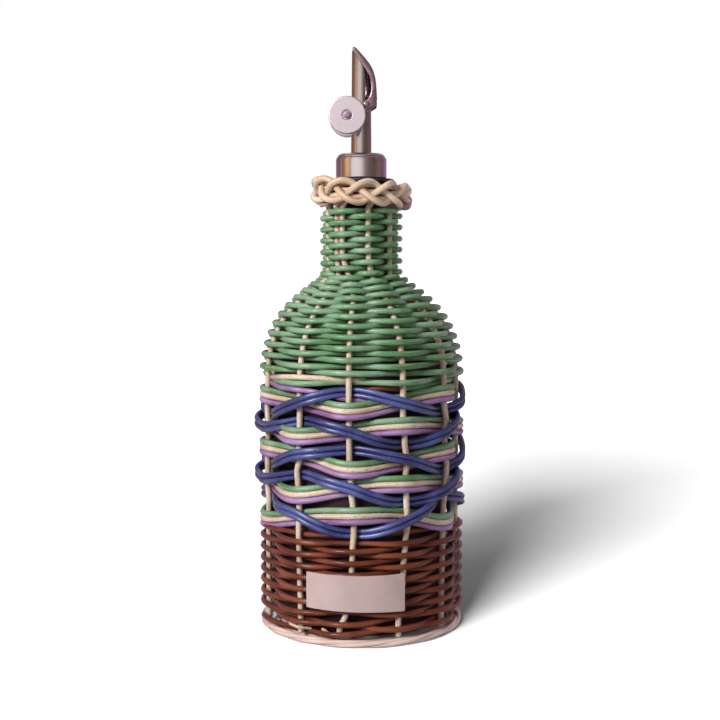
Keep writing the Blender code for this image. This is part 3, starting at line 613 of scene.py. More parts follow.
def makeHideMaterial(looks):
    tree, shader = newMaterial("label_hide")
    where = node(tree, "ShaderNodeTexCoord").outputs["Object"]
    pores = node(tree, "ShaderNodeTexVoronoi", {"Vector": where, "Scale": looks["poreSize"]})
    cloud = noiseAt(tree, where, looks["cloudSize"], 5.0)
    grain = noiseAt(tree, where, looks["grainSize"], 3.0)
    tone = blend(tree, stretch(tree, cloud, *looks["clouds"]), looks["dark"], looks["light"])
    specks = maths(tree, "MULTIPLY", stretch(tree, grain, *looks["grains"]), looks["speckShare"])
    height = maths(tree, "MULTIPLY_ADD", pores.outputs["Distance"], looks["poreDepth"], grain)
    fill(tree, shader, {
        "Base Color": blend(tree, specks, tone, looks["speck"]),
        "Roughness": stretch(tree, grain, *usualNoise, *looks["rough"]),
        "Normal": bumped(tree, height, *looks["bump"]),
        "Specular IOR Level": looks["specular"],
    })


cloudyLooks = {
    "dark_glass": dict(scale=40.0, detail=2.0, clouds=(0.35, 0.65), dark=(0.032, 0.016, 0.020),
                       light=(0.052, 0.028, 0.036), rough=(0.30, 0.44),
                       sockets={"IOR": 1.5, "Transmission Weight": 0.15, "Specular IOR Level": 0.03}),
    "black_rubber": dict(scale=900.0, detail=4.0, clouds=(0.45, 0.75), dark=(0.014, 0.010, 0.016),
                         light=(0.045, 0.034, 0.045), rough=(0.42, 0.62), bump=(0.12, 0.00006), sockets={}),
}


def makeCloudyMaterial(name, looks):
    tree, shader = newMaterial(name)
    cloud = noiseAt(tree, node(tree, "ShaderNodeTexCoord").outputs["Object"], looks["scale"], looks["detail"])
    tone = blend(tree, stretch(tree, cloud, *looks["clouds"]), looks["dark"], looks["light"])
    rough = stretch(tree, cloud, *usualNoise, *looks["rough"])
    fill(tree, shader, {"Base Color": tone, "Roughness": rough, **looks["sockets"]})
    if "bump" in looks:
        fill(tree, shader, {"Normal": bumped(tree, cloud, *looks["bump"])})


for finish, looks in strandLooks.items():
    makeStrandMaterial(finish, looks)
for finish, looks in metalLooks.items():
    makeMetalMaterial(finish, looks)
makeHideMaterial(hideLooks)
for finish, looks in cloudyLooks.items():
    makeCloudyMaterial(finish, looks)
print("materials made")

# Place in metres and pitch in radians
cameraLook = {"place": (-0.0005, -0.4958, 0.1498), "pitch": 0.088756, "lens": 62.065, "sensor": 36.0,
              "near": 0.01}


def makeCamera():
    lens = bpy.data.cameras.new("view")
    lens.lens = cameraLook["lens"]
    lens.sensor_width = cameraLook["sensor"]
    lens.clip_start = cameraLook["near"]
    camera = bpy.data.objects.new("view", lens)
    camera.location = cameraLook["place"]
    camera.rotation_euler = (math.pi / 2 - cameraLook["pitch"], 0.0, 0.0)
    scene.collection.objects.link(camera)
    scene.camera = camera
    scene.view_settings.view_transform = "Standard"


# The pieces that a lamp lights alone, or leaves out
floorOnly = bpy.data.collections.new("floorOnly")
floorLeftOut = bpy.data.collections.new("floorLeftOut")
polishedLeftOut = bpy.data.collections.new("polishedLeftOut")

lampAim = Vector((0, 0, 0.1))
lamps = {
    # place and size in metres, watts, colour, pieces
    "key": ((-0.78, -0.80, 0.64), 0.50, 18.0, (1.0, 0.985, 0.97), polishedLeftOut),
    "floorKey": ((-0.448, -0.986, 0.44), 0.55, 150.0, (1.0, 1.0, 1.0), floorOnly),
    "fill": ((0.75, -0.65, 0.35), 0.70, 0.6, (1.0, 0.97, 0.99), None),
    "top": ((-0.15, 0.10, 0.95), 0.70, 0.9, (1.0, 1.0, 1.0), None),
    "edgeRight": ((0.55, 0.35, 0.20), 0.40, 2.3, (0.90, 0.70, 0.92), floorLeftOut),
    "edgeLeft": ((-0.55, 0.35, 0.20), 0.40, 0.8, (0.88, 0.74, 0.94), floorLeftOut),
}


def makeLamps():
    for name, (spot, size, power, colour, pieces) in lamps.items():
        lamp = bpy.data.lights.new(name, "AREA")
        lamp.shape = "DISK"
        lamp.size = size
        lamp.energy = power
        lamp.color = colour
        holder = bpy.data.objects.new(name, lamp)
        holder.location = spot
        holder.rotation_euler = (Vector(spot) - lampAim).to_track_quat("Z", "Y").to_euler()
        scene.collection.objects.link(holder)
        holder.visible_glossy = name == "key"
        if pieces is not None:
            holder.light_linking.receiver_collection = pieces


def leaveOut(made, collection):
    collection.objects.link(made)
    collection.collection_objects[len(collection.objects) - 1].light_linking.link_state = "EXCLUDE"


roomLook = {
    "plain": (0.25, 0.25, 0.25),    # lights the object
    "above": (0.28, 0.21, 0.25),    # seen overhead by what is polished
    "climb": (0.45, 0.85),
    # seen round about by what is polished, by degrees from the camera's side
    "around": (
        (-180, (0.40, 0.33, 0.39)), (-142, (0.27, 0.15, 0.19)), (-118, (0.21, 0.11, 0.12)),
        (-103, (0.45, 0.30, 0.28)), (-94, (0.25, 0.15, 0.11)), (-83, (0.55, 0.26, 0.12)),
        (-70, (1.20, 0.62, 0.30)), (-59, (0.84, 0.50, 0.30)), (-51, (0.52, 0.42, 0.36)),
        (-42, (0.98, 0.90, 0.88)), (-15, (1.00, 0.90, 0.91)), (0, (0.86, 0.74, 0.76)),
        (17, (0.32, 0.24, 0.24)), (35, (0.18, 0.125, 0.105)), (62, (0.14, 0.085, 0.070)),
        (90, (0.26, 0.16, 0.145)), (110, (0.21, 0.10, 0.14)), (138, (0.32, 0.18, 0.31)),
        (180, (0.40, 0.33, 0.39)),
    ),
}


def makeWorld():
    world = bpy.data.worlds.new("studio")
    world.use_nodes = True
    scene.world = world
    tree = world.node_tree
    tree.nodes.clear()
    where = node(tree, "ShaderNodeTexCoord").outputs["Generated"]
    split = node(tree, "ShaderNodeSeparateXYZ", {0: where}).outputs
    turn = maths(tree, "ARCTAN2", split["X"], maths(tree, "MULTIPLY", split["Y"], -1.0))
    ramp = node(tree, "ShaderNodeValToRGB", {0: maths(tree, "MULTIPLY_ADD", turn, 1 / fullTurn, 0.5)})
    elements = ramp.color_ramp.elements
    for degrees, colour in roomLook["around"][1:-1]:
        elements.new(degrees / 360 + 0.5)
    for element, (degrees, colour) in zip(elements, roomLook["around"]):
        element.color = (*colour, 1.0)
    up = stretch(tree, split["Z"], *roomLook["climb"])
    mirrored = blend(tree, up, ramp.outputs["Color"], roomLook["above"])
    path = node(tree, "ShaderNodeLightPath").outputs
    seen = blend(tree, path["Is Glossy Ray"], roomLook["plain"], mirrored)
    final = blend(tree, path["Is Camera Ray"], seen, (1.0, 1.0, 1.0))
    glow = node(tree, "ShaderNodeBackground", {"Color": final, "Strength": 1.0})
    node(tree, "ShaderNodeOutputWorld", {0: glow.outputs[0]})


floorLook = {
    "reach": 6.0,               # metres, as the fade is
    "level": 0.142,             # evens out the lamp's fall-off, up to a most
    "most": 0.9,
    "cloud": (3.0, 0.04),
    "bounce": 0.45,             # the share of its light that reaches the object
    "fade": (0.50, 0.95),       # from the object outwards it turns into plain white
    "glow": 0.05,
    "rough": 0.9,
}


def makeFloor():
    looks = floorLook
    mesh = bpy.data.meshes.new("floor")
    reach = looks["reach"]
    mesh.from_pydata([(-reach, -reach, 0), (reach, -reach, 0), (reach, reach, 0), (-reach, reach, 0)], [],
                     [(0, 1, 2, 3)])
    material = bpy.data.materials.new("floor")
    material.use_nodes = True
    tree = material.node_tree
    where = node(tree, "ShaderNodeTexCoord").outputs["Object"]
    size, amount = looks["cloud"]
    clouded = maths(tree, "MULTIPLY_ADD", noiseAt(tree, where, size), amount, 1 - amount / 2)
    away = node(tree, "ShaderNodeVectorMath", {0: where, 1: lamps["floorKey"][0]}, operation="DISTANCE")
    level = maths(tree, "MULTIPLY", maths(tree, "POWER", away.outputs["Value"], 3.0), looks["level"])
    level = maths(tree, "MULTIPLY", maths(tree, "MINIMUM", level, looks["most"]), clouded)
    tone = node(tree, "ShaderNodeCombineColor", {0: level, 1: level, 2: level}).outputs[0]
    camera = node(tree, "ShaderNodeLightPath").outputs["Is Camera Ray"]
    direct = maths(tree, "MULTIPLY_ADD", camera, 1 - looks["bounce"], looks["bounce"])
    far = node(tree, "ShaderNodeVectorMath", {0: where}, operation="LENGTH").outputs["Value"]
    glow = maths(tree, "MULTIPLY_ADD", stretch(tree, far, *looks["fade"]), 1 - looks["glow"], looks["glow"])
    fill(tree, tree.nodes["Principled BSDF"], {
        "Base Color": blend(tree, direct, (0.0, 0.0, 0.0), tone),
        "Roughness": looks["rough"],
        "Specular IOR Level": 0.0,
        "Emission Strength": maths(tree, "MULTIPLY", glow, camera),
        "Emission Color": (1.0, 1.0, 1.0, 1.0),
    })
    made = bpy.data.objects.new("floor", mesh)
    mesh.materials.append(material)
    scene.collection.objects.link(made)
    floorOnly.objects.link(made)
    leaveOut(made, floorLeftOut)


makeCamera()
makeLamps()
makeWorld()
makeFloor()
print("camera, light and floor made")

stakeLook = {
    "bottom": 3.9, "top": 170.9, "radius": 1.17, "wobble": 0.035, "pitch": 1.6,
    "finePitch": 0.55, "fineFrom": 120,     # a share of the pitch, on the shoulder and above
    "topTurn": 15.0, "topFrom": 165.0, "topReach": 7.0, "topOut": 0.45,     # they lean over at the rim
}


def makeStakes():
    looks = stakeLook
    for number in range(jacket["stakes"]):
        points, radii = [], []
        length, last = lengthAt(looks["bottom"]), lengthAt(looks["top"])
        while length <= last:
            radius, height = lineAt(length)
            slant = smoothStep((height - looks["topFrom"]) / looks["topReach"])
            turn = stakeTurn(number, height) + math.radians(looks["topTurn"]) * slant
            points.append(place(turn, radius + looks["topOut"] * slant, height))
            radii.append(looks["radius"] * (1 + looks["wobble"] * waver(3.7 * number, length * 0.25, 0)))
            length += looks["pitch"] * (looks["finePitch"] if height > looks["fineFrom"] else 1.0)
        name, cad = f"stakeSkin{number + 1}", f"stake_{number + 1:02d}"
        layStrand(name, points, radii, "cream_strand", cad, sides=12)


makeStakes()
print("stakes made")

# Plain weave, below the bands and above them
spiralLooks = {
    "green": {
        "bottom": 100.6, "top": 166.2, "pitch": 2.2, "side": -1, "radius": 1.11, "swell": 0.085,
        "swing": 2.32, "seed": 2.0, "loose": 0.20, "leaning": True,
        # heights of the first passes, which begin so many before the first stake
        "start": (98.0, 98.9, 98.5, 97.7, 98.2, 98.7, 99.5, 99.4, 98.8, 99.3, 100.2, 100.3, 100.7),
        "before": 8,
        "hidden": 2,            # so many of them stay inside, whatever their rhythm
        "closeUp": 0.6,         # the rows after them sink towards the low ones
        "closeFrom": 14, "closeTo": 36,
    },
    "brown": {
        "bottom": 5.0, "top": 41.6, "pitch": 2.25, "side": 1, "radius": 1.04, "swell": 0.05,
        "swing": 2.20, "seed": 9.0, "loose": 0.30, "leaning": False,
        # the lowest rows are looser and wave up and down
        "waveTop": 17.0, "waveFade": 10.0, "wave": 1.05, "waves": 2.4, "waveStart": 0.6, "sag": 0.35,
        # height and side: inside behind the last blue pair, then once more round the back
        "end": ((42.2, -1), (42.7, -1), (42.3, -1), (42.5, -1), (43.1, 1), (43.7, -1), (43.8, 1), (43.2, -1),
                (42.9, 1), (42.6, -1)),
    },
}


def spiralKnots(looks):
    first = lengthAt(looks["bottom"])
    reach = lengthAt(looks["top"]) - first
    passes = int(reach / looks["pitch"] * jacket["stakes"])
    side = looks["side"]
    knots = []
    for i in range(passes + 1):
        length = first + reach * i / passes
        height = lineAt(length)[1]
        paired = i % jacket["stakes"] in jacket["paired"] and height > jacket["neckFoot"] - jacket["pairDrop"]
        if i > 0 and not paired:
            side = -side
        knots.append((stakeTurn(i, height), length, side))
    return knots


def layWeave(colour, knots):
    looks = spiralLooks[colour]
    points, sides = weavePath(knots, jacket["passSteps"], seed=looks["seed"], leaning=looks["leaning"],
                              loose=looks["loose"], swing=looks["swing"])
    radii = strandRadii(sides, looks["radius"], looks["swell"])
    layStrand(f"{colour}Weave", points, radii, f"{colour}_strand", f"{colour}_weaver")


def makeGreenWeave():
    # the strand starts inside, on the spout's side, and its first pass in view tucks in below a cream end
    looks = spiralLooks["green"]
    before, start = looks["before"], []
    for number, height in enumerate(looks["start"], -before):
        outside = number % 2 and number >= looks["hidden"] - before
        start.append((stakeTurn(number, height), lengthAt(height), 1 if outside else -1))
    knots = start + spiralKnots(looks)[len(start) - before:]
    for i in range(looks["closeFrom"], looks["closeTo"]):
        turn, length, side = knots[i + before]
        sunk = looks["closeUp"] * (looks["closeTo"] - i) / (looks["closeTo"] - looks["closeFrom"])
        knots[i + before] = (turn, length - sunk, side)
    layWeave("green", knots)


def makeBrownWeave():
    looks = spiralLooks["brown"]
    knots = []
    for turn, length, side in spiralKnots(looks):
        share = smoothStep((looks["waveTop"] - length - jacket["bottom"]) / looks["waveFade"])
        wave = looks["wave"] * math.sin(looks["waves"] * turn + looks["waveStart"])
        knots.append((turn, length + share * (wave - looks["sag"]), side))
    while knots[-1][2] > 0:
        knots.pop()
    for number, (height, side) in enumerate(looks["end"], len(knots)):
        knots.append((stakeTurn(number, height), lengthAt(height), side))
    layWeave("brown", knots)


makeGreenWeave()
makeBrownWeave()
print("plain weave made")

# Coloured bands and the blue pairs that cross them
bandLook = {
    "top": 92.195, "pitch": 10.7, "row": 2.27, "shift": 2.2, "radius": 1.11, "swell": 0.07,
    "waveShift": 4.5, "waveRow": 2.2, "waveRadius": 1.07, "waveSwell": 0.04, "waveOut": 2.9, "wavePeak": 0.11,
    "steps": 12, "loose": 0.10,
    "waveBulge": {1: {10: 2.2}, 3: {10: 2.4}, 0: {4: 0.5, 5: 0.5}, 2: {4: 0.5, 5: 0.5}},   # wave: gap: bulge
    "oddSides": (1, -1, 1, -1, 1, -1, 1, -1, -1, 1, -1),
    "evenSides": (-1, 1, -1, 1, -1, 1, -1, 1, -1, -1, 1),
    "oddShares": (-1, 0, 1, 0, -1, 0, 1, 0, 0, -1, 0),
    "evenShares": (0, 1, 0, -1, 0, 1, 0, -1, 0, 0, 1),
    # heights at the five stakes in view
    "bands": ((93.1, 91.9, 90.0, 92.6, 95.0), (80.0, 79.5, 81.9, 84.2, 81.8), (72.2, 71.4, 68.1, 69.7, 72.3),
              (57.2, 57.0, 60.6, 62.2, 59.4), (43.6, 47.7, 50.6, 49.0, 44.7)),
    "waves": ((84.6, 92.0, 96.6, 92.6, 87.9), (80.8, 84.9, 82.6, 76.6, 81.1), (64.2, 72.6, 74.8, 71.2, 65.2),
              (60.0, 64.2, 61.2, 54.7, 58.9), (52.2, 50.1, 43.3, 48.8, 53.6)),
}


def ringHeights(middle, shares, shift, seen):
    heights = list(seen)
    for i in range(len(seen), jacket["stakes"]):
        share = shares[i]
        if share == 0:
            share = 0.25 * (shares[i - 1] + shares[(i + 1) % jacket["stakes"]])
        heights.append(middle + share * shift)
    return heights


def layRing(name, finish, cad, levels, sides, radius, swell, **weave):
    knots = [(stakeTurn(stake, level), lengthAt(level), side)
             for stake, (level, side) in enumerate(zip(levels, sides))]
    points, passed = weavePath(knots, bandLook["steps"], closed=True, loose=bandLook["loose"], **weave)
    layStrand(name, points, strandRadii(passed, radius, swell), finish, cad, closed=True)


def makeBands():
    looks = bandLook
    last = len(looks["bands"]) - 1
    for number, (bandSeen, waveSeen) in enumerate(zip(looks["bands"], looks["waves"])):
        parity = "even" if number % 2 else "odd"
        sides, shares = looks[f"{parity}Sides"], looks[f"{parity}Shares"]
        if number == last:
            shares = [-share for share in shares]
        middle = looks["top"] - number * looks["pitch"]
        heights = ringHeights(middle, shares, -looks["shift"], bandSeen)
        for row, colour in enumerate(("green", "cream", "purple")):
            levels = [height + (1 - row) * looks["row"] for height in heights]
            layRing(f"{colour}Band{number + 1}", f"{colour}_strand", f"{colour}_band_{number + 1}", levels,
                    sides, looks["radius"], looks["swell"], hold=-1, seed=number * 3.0)
        heights = ringHeights(middle, shares, looks["waveShift"], waveSeen)
        for row, which in enumerate(("upper", "lower")):
            levels = [height + (0.5 - row) * looks["waveRow"] for height in heights]
            layRing(f"blueWave{number + 1}{which}", "blue_strand", f"blue_wave_{number + 1}_{which}", levels,
                    [-side for side in sides], looks["waveRadius"], looks["waveSwell"], hold=1,
                    seed=40 + number * 3.0, peak=looks["wavePeak"], out=looks["waveOut"],
                    bulges=looks["waveBulge"].get(number))


makeBands()
print("bands made")

# Loose ends: finish and radius, then degrees round, height and side
endLooks = {
    "creamEnd": ("cream_strand", 1.08, (
        (-84, 99.0, -1), (-74, 99.9, -0.8), (-37.8, 101.9, 1), (-7, 101.6, -0.9), (2, 101.2, -1))),
    "purpleEnd": ("purple_strand", 1.02, (
        (-86, 97.2, -1), (-74, 97.5, -0.6), (-39, 97.3, 1), (-29, 96.7, 0.1), (-22, 95.8, -0.5),
        (-8, 93.9, -1), (5, 93.6, -1))),
    "brownEnd": ("brown_strand", 0.95, ((3, 97.6, -0.9), (10, 98.2, -0.5), (18, 98.0, -0.5), (27, 97.5, -1))),
    "footEndA": ("cream_strand", 0.60, (
        (-50, 6.3, -0.6), (-44, 6.0, 0.5), (-38, 5.7, 0.7), (-32, 5.2, -0.6))),
    "footEndB": ("cream_strand", 0.60, (
        (-24, 5.6, -0.6), (-18, 5.1, 0.5), (-12, 4.9, 0.6), (-6, 5.0, -0.6))),
}


def makeEnds():
    for name, (finish, radius, marks) in endLooks.items():
        knots = [(math.radians(turn), lengthAt(height), side) for turn, height, side in marks]
        layStrand(name, weavePath(knots, jacket["passSteps"], loose=0.05)[0], radius, finish, sides=12)


makeEnds()
print("ends made")

# Plait of three leads round the mouth, over three plain cores
rimLook = {
    "middle": 171.9, "line": 17.45, "depth": 1.40, "rise": 4.0, "radius": 1.30, "leads": 3, "bights": 11,
    "tilt": 1.3, "steps": 14, "start": 0.9, "loose": 0.12, "wobble": 0.06,
    # radius, height and thickness
    "cores": {"rimCoreUpper": (15.3, 174.7, 1.05), "rimCoreMiddle": (15.5, 172.4, 1.1),
              "rimCoreLower": (15.7, 170.1, 1.1)},
    "coreSteps": 120, "coreWave": 0.25,
    # thickness, steps, and then degrees round, radius and height
    "ends": {
        "rimKnot": (1.15, 6, ((70, 17.2, 166.6), (76, 18.9, 167.6), (84, 19.0, 169.4), (90, 17.6, 170.6))),
        "rimStub": (0.95, 5, ((-66, 14.2, 167.6), (-69, 15.6, 167.5), (-73, 16.4, 167.2))),
    },
}


def makeRim():
    looks = rimLook
    samples = looks["bights"] * looks["leads"] * looks["steps"]
    points, radii = [], []
    for i in range(samples):
        turn = fullTurn * looks["leads"] * i / samples
        phase = turn * looks["bights"] / looks["leads"] + looks["start"]
        loose = 1 + looks["loose"] * waver(math.cos(turn) * 2, math.sin(turn) * 2, i * 0.004)
        radius = looks["line"] + looks["depth"] * math.sin(2 * phase)
        height = looks["middle"] + looks["rise"] * math.sin(phase) * loose - looks["tilt"] * math.sin(turn)
        points.append(place(turn, radius, height))
        radii.append(looks["radius"] * (1 + looks["wobble"] * waver(i * 0.05, 4.0, 0)))
    nodes = [f"rim_strand_{lead + 1}" for lead in range(looks["leads"])]
    layStrand("rimPlait", points, radii, "rimStrand", *nodes, closed=True, sides=12)
    for name, (radius, height, size) in looks["cores"].items():
        points = []
        for i in range(looks["coreSteps"]):
            turn = fullTurn * i / looks["coreSteps"]
            wave = looks["coreWave"] * math.sin(looks["bights"] * turn + height)
            points.append(place(turn, radius + 0.5 * wave, height + wave - looks["tilt"] * math.sin(turn)))
        layStrand(name, points, size, "rimStrand", closed=True)
    for name, (size, steps, marks) in looks["ends"].items():
        marks = [place(math.radians(turn), radius, height) for turn, radius, height in marks]
        layStrand(name, curveThrough(marks, steps), size, "roseStrand", sides=12)


makeRim()
print("rim made")

# Rolled border and coiled disc at the foot
footLook = {
    "line": 39.2, "reach": 0.62, "radius": 0.95, "strands": 3, "twists": 5, "middle": 1.62, "steps": 240,
    "loose": 0.5, "wobble": 0.05,
    "coilRadius": 1.06, "coilPitch": 2.16, "coilOut": 35.6, "coilMiddle": 1.12, "coilWave": 0.03,
    "coilSteps": 56, "coilFirst": 24,
}


def makeFoot():
    looks = footLook
    for number in range(looks["strands"]):
        points, radii = [], []
        for i in range(looks["steps"]):
            turn = fullTurn * i / looks["steps"]
            phase = looks["twists"] * turn + fullTurn * number / looks["strands"]
            phase += looks["loose"] * waver(math.cos(turn), math.sin(turn), 7.0)
            radius = looks["line"] + looks["reach"] * math.cos(phase)
            points.append(place(turn, radius, looks["middle"] + looks["reach"] * math.sin(phase)))
            radii.append(looks["radius"] * (1 + looks["wobble"] * waver(i * 0.12, number, 0)))
        nodes = [f"base_border_{number + 1}"] if number < 2 else []
        layStrand(f"footRoll{number + 1}", points, radii, "pink_strand", *nodes, closed=True, sides=12)
    points = []
    for i in range(looks["coilFirst"], int(looks["coilOut"] / looks["coilPitch"] * looks["coilSteps"])):
        turn = fullTurn * i / looks["coilSteps"]
        radius = looks["coilPitch"] * turn / fullTurn
        points.append(place(turn, radius, looks["coilMiddle"] + looks["coilWave"] * math.sin(5 * turn)))
    layStrand("footCoil", points, looks["coilRadius"], "pink_strand", "base_disc", sides=8)


makeFoot()
print("foot made")

labelLook = {
    "width": 38.2, "height": 13.7, "bottom": 14.75, "turn": -3.3, "inner": 41.6, "thick": 0.85,
    "corner": 0.35, "columns": 60, "rows": 20, "drop": 0.018, "bow": 0.05, "waist": 0.012,
    "ripple": 0.10, "upturn": 0.22,
    "bevel": 0.12, "sharp": 50,
}


def labelSpot(across, up):
    # shares of the plate's width and height, which close up towards the edges
    looks = labelLook
    half, tall, corner = looks["width"] / 2, looks["height"] / 2, looks["corner"]
    x = half * math.sin(math.pi / 2 * (2 * across - 1))
    z = tall * math.sin(math.pi / 2 * (2 * up - 1))
    overX, overZ = abs(x) - (half - corner), abs(z) - (tall - corner)
    if overX > 0 and overZ > 0:
        share = max(overX, overZ) / math.hypot(overX, overZ)
        x = math.copysign(half - corner + overX * share, x)
        z = math.copysign(tall - corner + overZ * share, z)
    bow = max(looks["bow"] * waver(x * 0.09, z * 0.12, 5.0), 0)
    side, share = (x / half) ** 2, z / tall
    height = looks["bottom"] + tall + z * (1 - looks["waist"] * side) + looks["ripple"] * math.sin(x * 0.11)
    # the lower edge hangs more on the right, and the upper corners stand up
    height -= looks["drop"] * x * (1.2 - 0.5 * share)
    height += looks["upturn"] * (1 + share) * side
    return math.radians(looks["turn"]) + x / (looks["inner"] + 0.4), looks["inner"] + bow, height


def makeLabel():
    looks = labelLook
    columns, rows = looks["columns"], looks["rows"]
    shape = bmesh.new()
    layer = shape.loops.layers.uv.new("UVMap")
    grid = [[labelSpot(i / columns, j / rows) for j in range(rows + 1)] for i in range(columns + 1)]
    skins = []
    for out in (0.0, looks["thick"] - looks["bevel"]):
        skins.append([[newCorner(shape, place(turn, radius + out, height)) for turn, radius, height in column]
                      for column in grid])
    for number, skin in enumerate(skins):
        for i in range(columns):
            for j in range(rows):
                corners = [skin[i][j], skin[i + 1][j], skin[i + 1][j + 1], skin[i][j + 1]]
                for loop in shape.faces.new(corners if number else corners[::-1]).loops:
                    loop[layer].uv = (i / columns, j / rows)
    edge = [(i, 0) for i in range(columns)] + [(columns, j) for j in range(rows)]
    edge += [(i, rows) for i in range(columns, 0, -1)] + [(0, j) for j in range(rows, 0, -1)]
    for (i, j), (m, n) in zip(edge, edge[1:] + edge[:1]):
        shape.faces.new([skins[0][i][j], skins[0][m][n], skins[1][m][n], skins[1][i][j]])
    mesh = meshFrom("labelHide", shape, looks["sharp"])
    made = addPiece("labelHide", mesh, "bottle", "label_hide", "label_plate")
    bevel = made.modifiers.new("edge", "BEVEL")
    bevel.width = looks["bevel"] * millimetre
    bevel.segments = 2
    bevel.limit_method = "ANGLE"
    bevel.angle_limit = math.radians(looks["sharp"])


makeLabel()
print("label made")

glassLook = {
    "inset": 3.55, "wall": 1.7, "bottom": 2.6, "top": 175.7, "heel": 3.4, "floor": 9.6, "steps": 60,
    "lipRadius": 12.0, "bore": 7.2, "boreRound": 0.4, "lipDrop": 6.2, "lipRound": 1.0,
    "pit": ((0.72, 0.0), (0.62, 0.5), (0.3, 2.3), (0.0, 2.9)),      # under the foot: share of radius, rise
}


def makeGlass():
    looks = glassLook
    bottom, top, heel, floor = pick(looks, "bottom", "top", "heel", "floor")
    lip, edge, bore, rounding = pick(looks, "lipRadius", "lipRound", "bore", "boreRound")
    lipFoot = top - looks["lipDrop"]
    low, high = lengthAt(bottom + heel), lengthAt(lipFoot)
    lengths = [low + (high - low) * i / looks["steps"] for i in range(looks["steps"] + 1)]
    outside = [lineAt(length, -looks["inset"]) for length in lengths]
    inside = [lineAt(length, -looks["inset"] - looks["wall"]) for length in lengths]
    body = outside[0][0]
    outline = [(0.0, floor)] + arc(inside[0][0] - heel, floor + heel, heel, -90, 0, 8)
    outline += [spot for spot in inside if spot[1] > floor + heel + 0.5][:-1]
    outline += [(bore, top - rounding), (bore + rounding, top)]
    outline += arc(lip - edge, top - edge, edge, 90, 0, 6) + arc(lip - edge, lipFoot + edge, edge, 0, -80, 5)
    outline += [spot for spot in outside[::-1] if spot[1] < lipFoot - 0.6]
    outline += arc(body - heel, bottom + heel, heel, 0, -90, 8)
    outline += [(body * share, bottom + rise) for share, rise in looks["pit"]]
    layTurned("darkGlass", outline, "bottle", "dark_glass", "glass_bottle", degrees=45)


makeGlass()
print("glass made")

stopperLook = {
    "flangeRadius": 12.9, "flangeBottom": 176.0, "flangeTop": 177.5, "flangeRound": 0.5,
    "bore": 4.3, "bossRadius": 8.6, "bossTop": 185.7, "core": 6.15, "plugBottom": 157.0, "slope": 0.8,
    "fins": 3, "finRadius": 6.95, "finPitch": 4.2, "finBack": 0.08, "finHalf": 0.12,
}


def makeStopper():
    looks = stopperLook
    low, high, rim, edge = pick(looks, "flangeBottom", "flangeTop", "flangeRadius", "flangeRound")
    bore, core, slope, bottom = pick(looks, "bore", "core", "slope", "plugBottom")
    boss, bossTop, fin, half = pick(looks, "bossRadius", "bossTop", "finRadius", "finHalf")
    back = fin - looks["finBack"]
    outline = [(bore, bossTop), (boss, bossTop), (boss, high)]
    outline += arc(rim - edge, high - edge, edge, 90, 0, 5) + arc(rim - edge, low + edge, edge, 0, -90, 5)
    outline += [(core, low)]
    for i in range(looks["fins"]):
        tip = low - (i + 0.5) * looks["finPitch"]
        outline += [(core, tip + slope), (back, tip + half), (fin, tip), (back, tip - half),
                    (core, tip - slope)]
    outline += [(core, bottom + slope), (core - slope, bottom), (bore, bottom)]
    layTurned("stopperRubber", outline, "pourer", "black_rubber", "stopper", closed=True, degrees=38)


collarLook = {
    "radius": 10.0, "bottom": 177.8, "top": 187.5, "wall": 1.1, "topWall": 1.5, "bore": 4.3,
    "boreRound": 0.15, "shoulder": 2.9, "groove": 0.20, "grooveDrop": 1.35, "grooveWidth": 0.17, "lip": 0.3,
}


def makeCollar():
    looks = collarLook
    radius, top, bottom, bore = pick(looks, "radius", "top", "bottom", "bore")
    shoulder, lip, wall, topWall = pick(looks, "shoulder", "lip", "wall", "topWall")
    outline = [(bore, top - looks["boreRound"]), (bore + looks["boreRound"], top)]
    for x, z in arc(radius - shoulder, top - shoulder, shoulder, 90, 0, 24):
        # a fine groove runs round the shoulder
        depth = looks["groove"] * math.exp(-((z - top + looks["grooveDrop"]) / looks["grooveWidth"]) ** 2)
        outline.append((x - depth, z - depth))
    outline += [(radius, bottom + lip + 0.05)] + arc(radius - lip, bottom + lip, lip, 0, -90, 4)
    outline += [(radius - wall, bottom), (radius - wall, top - topWall), (bore, top - topWall)]
    made = layTurned("collarShell", outline, "pourer", "collarSteel", "collar", segments=128, closed=True,
                     degrees=30)
    leaveOut(made, polishedLeftOut)


spoutLook = {
    "radius": 4.0, "tipRadius": 3.65, "wall": 0.5, "foot": 160.0, "taper": 191.5, "top": 227.2,
    "mouthHeight": 223.9, "mouthSlope": math.radians(52.6), "segments": 96, "rows": 6,
    "vent": ((1.0, 176.0), (1.0, 148.0), (0.5, 148.0), (0.5, 176.0)), "ventAcross": -2.2,
    "hinge": (2.1, 206.0),      # across and up
    # radius, in from the stud's end
    "studHead": ((0.0, 0.0), (0.75, 0.0), (1.15, 0.12), (1.3, 0.3), (1.3, 0.5), (0.9, 0.5)),
    "studShank": 0.9,
}


def spoutWidth(height, inner):
    looks = spoutLook
    share = min(max((height - looks["taper"]) / (looks["top"] - looks["taper"]), 0.0), 1.0)
    radius = looks["radius"] + (looks["tipRadius"] - looks["radius"]) * share
    return radius - (looks["wall"] if inner else 0.0)


def spoutColumn(turn, inner):
    # the points of one side of the wall, from the foot to the slanted mouth
    looks = spoutLook
    top, taper, rows = looks["top"], looks["taper"], looks["rows"]
    for _ in range(4):
        reach = math.tan(looks["mouthSlope"]) * spoutWidth(top, inner) * math.cos(turn)
        top = min(looks["top"], looks["mouthHeight"] - reach)
    heights = [looks["foot"], taper - 1.0] + [taper + (top - taper) * k / rows for k in range(rows + 1)]
    spots = [(spoutWidth(height, inner), height) for height in heights]
    return [(radius * math.cos(turn), radius * math.sin(turn), height) for radius, height in spots]


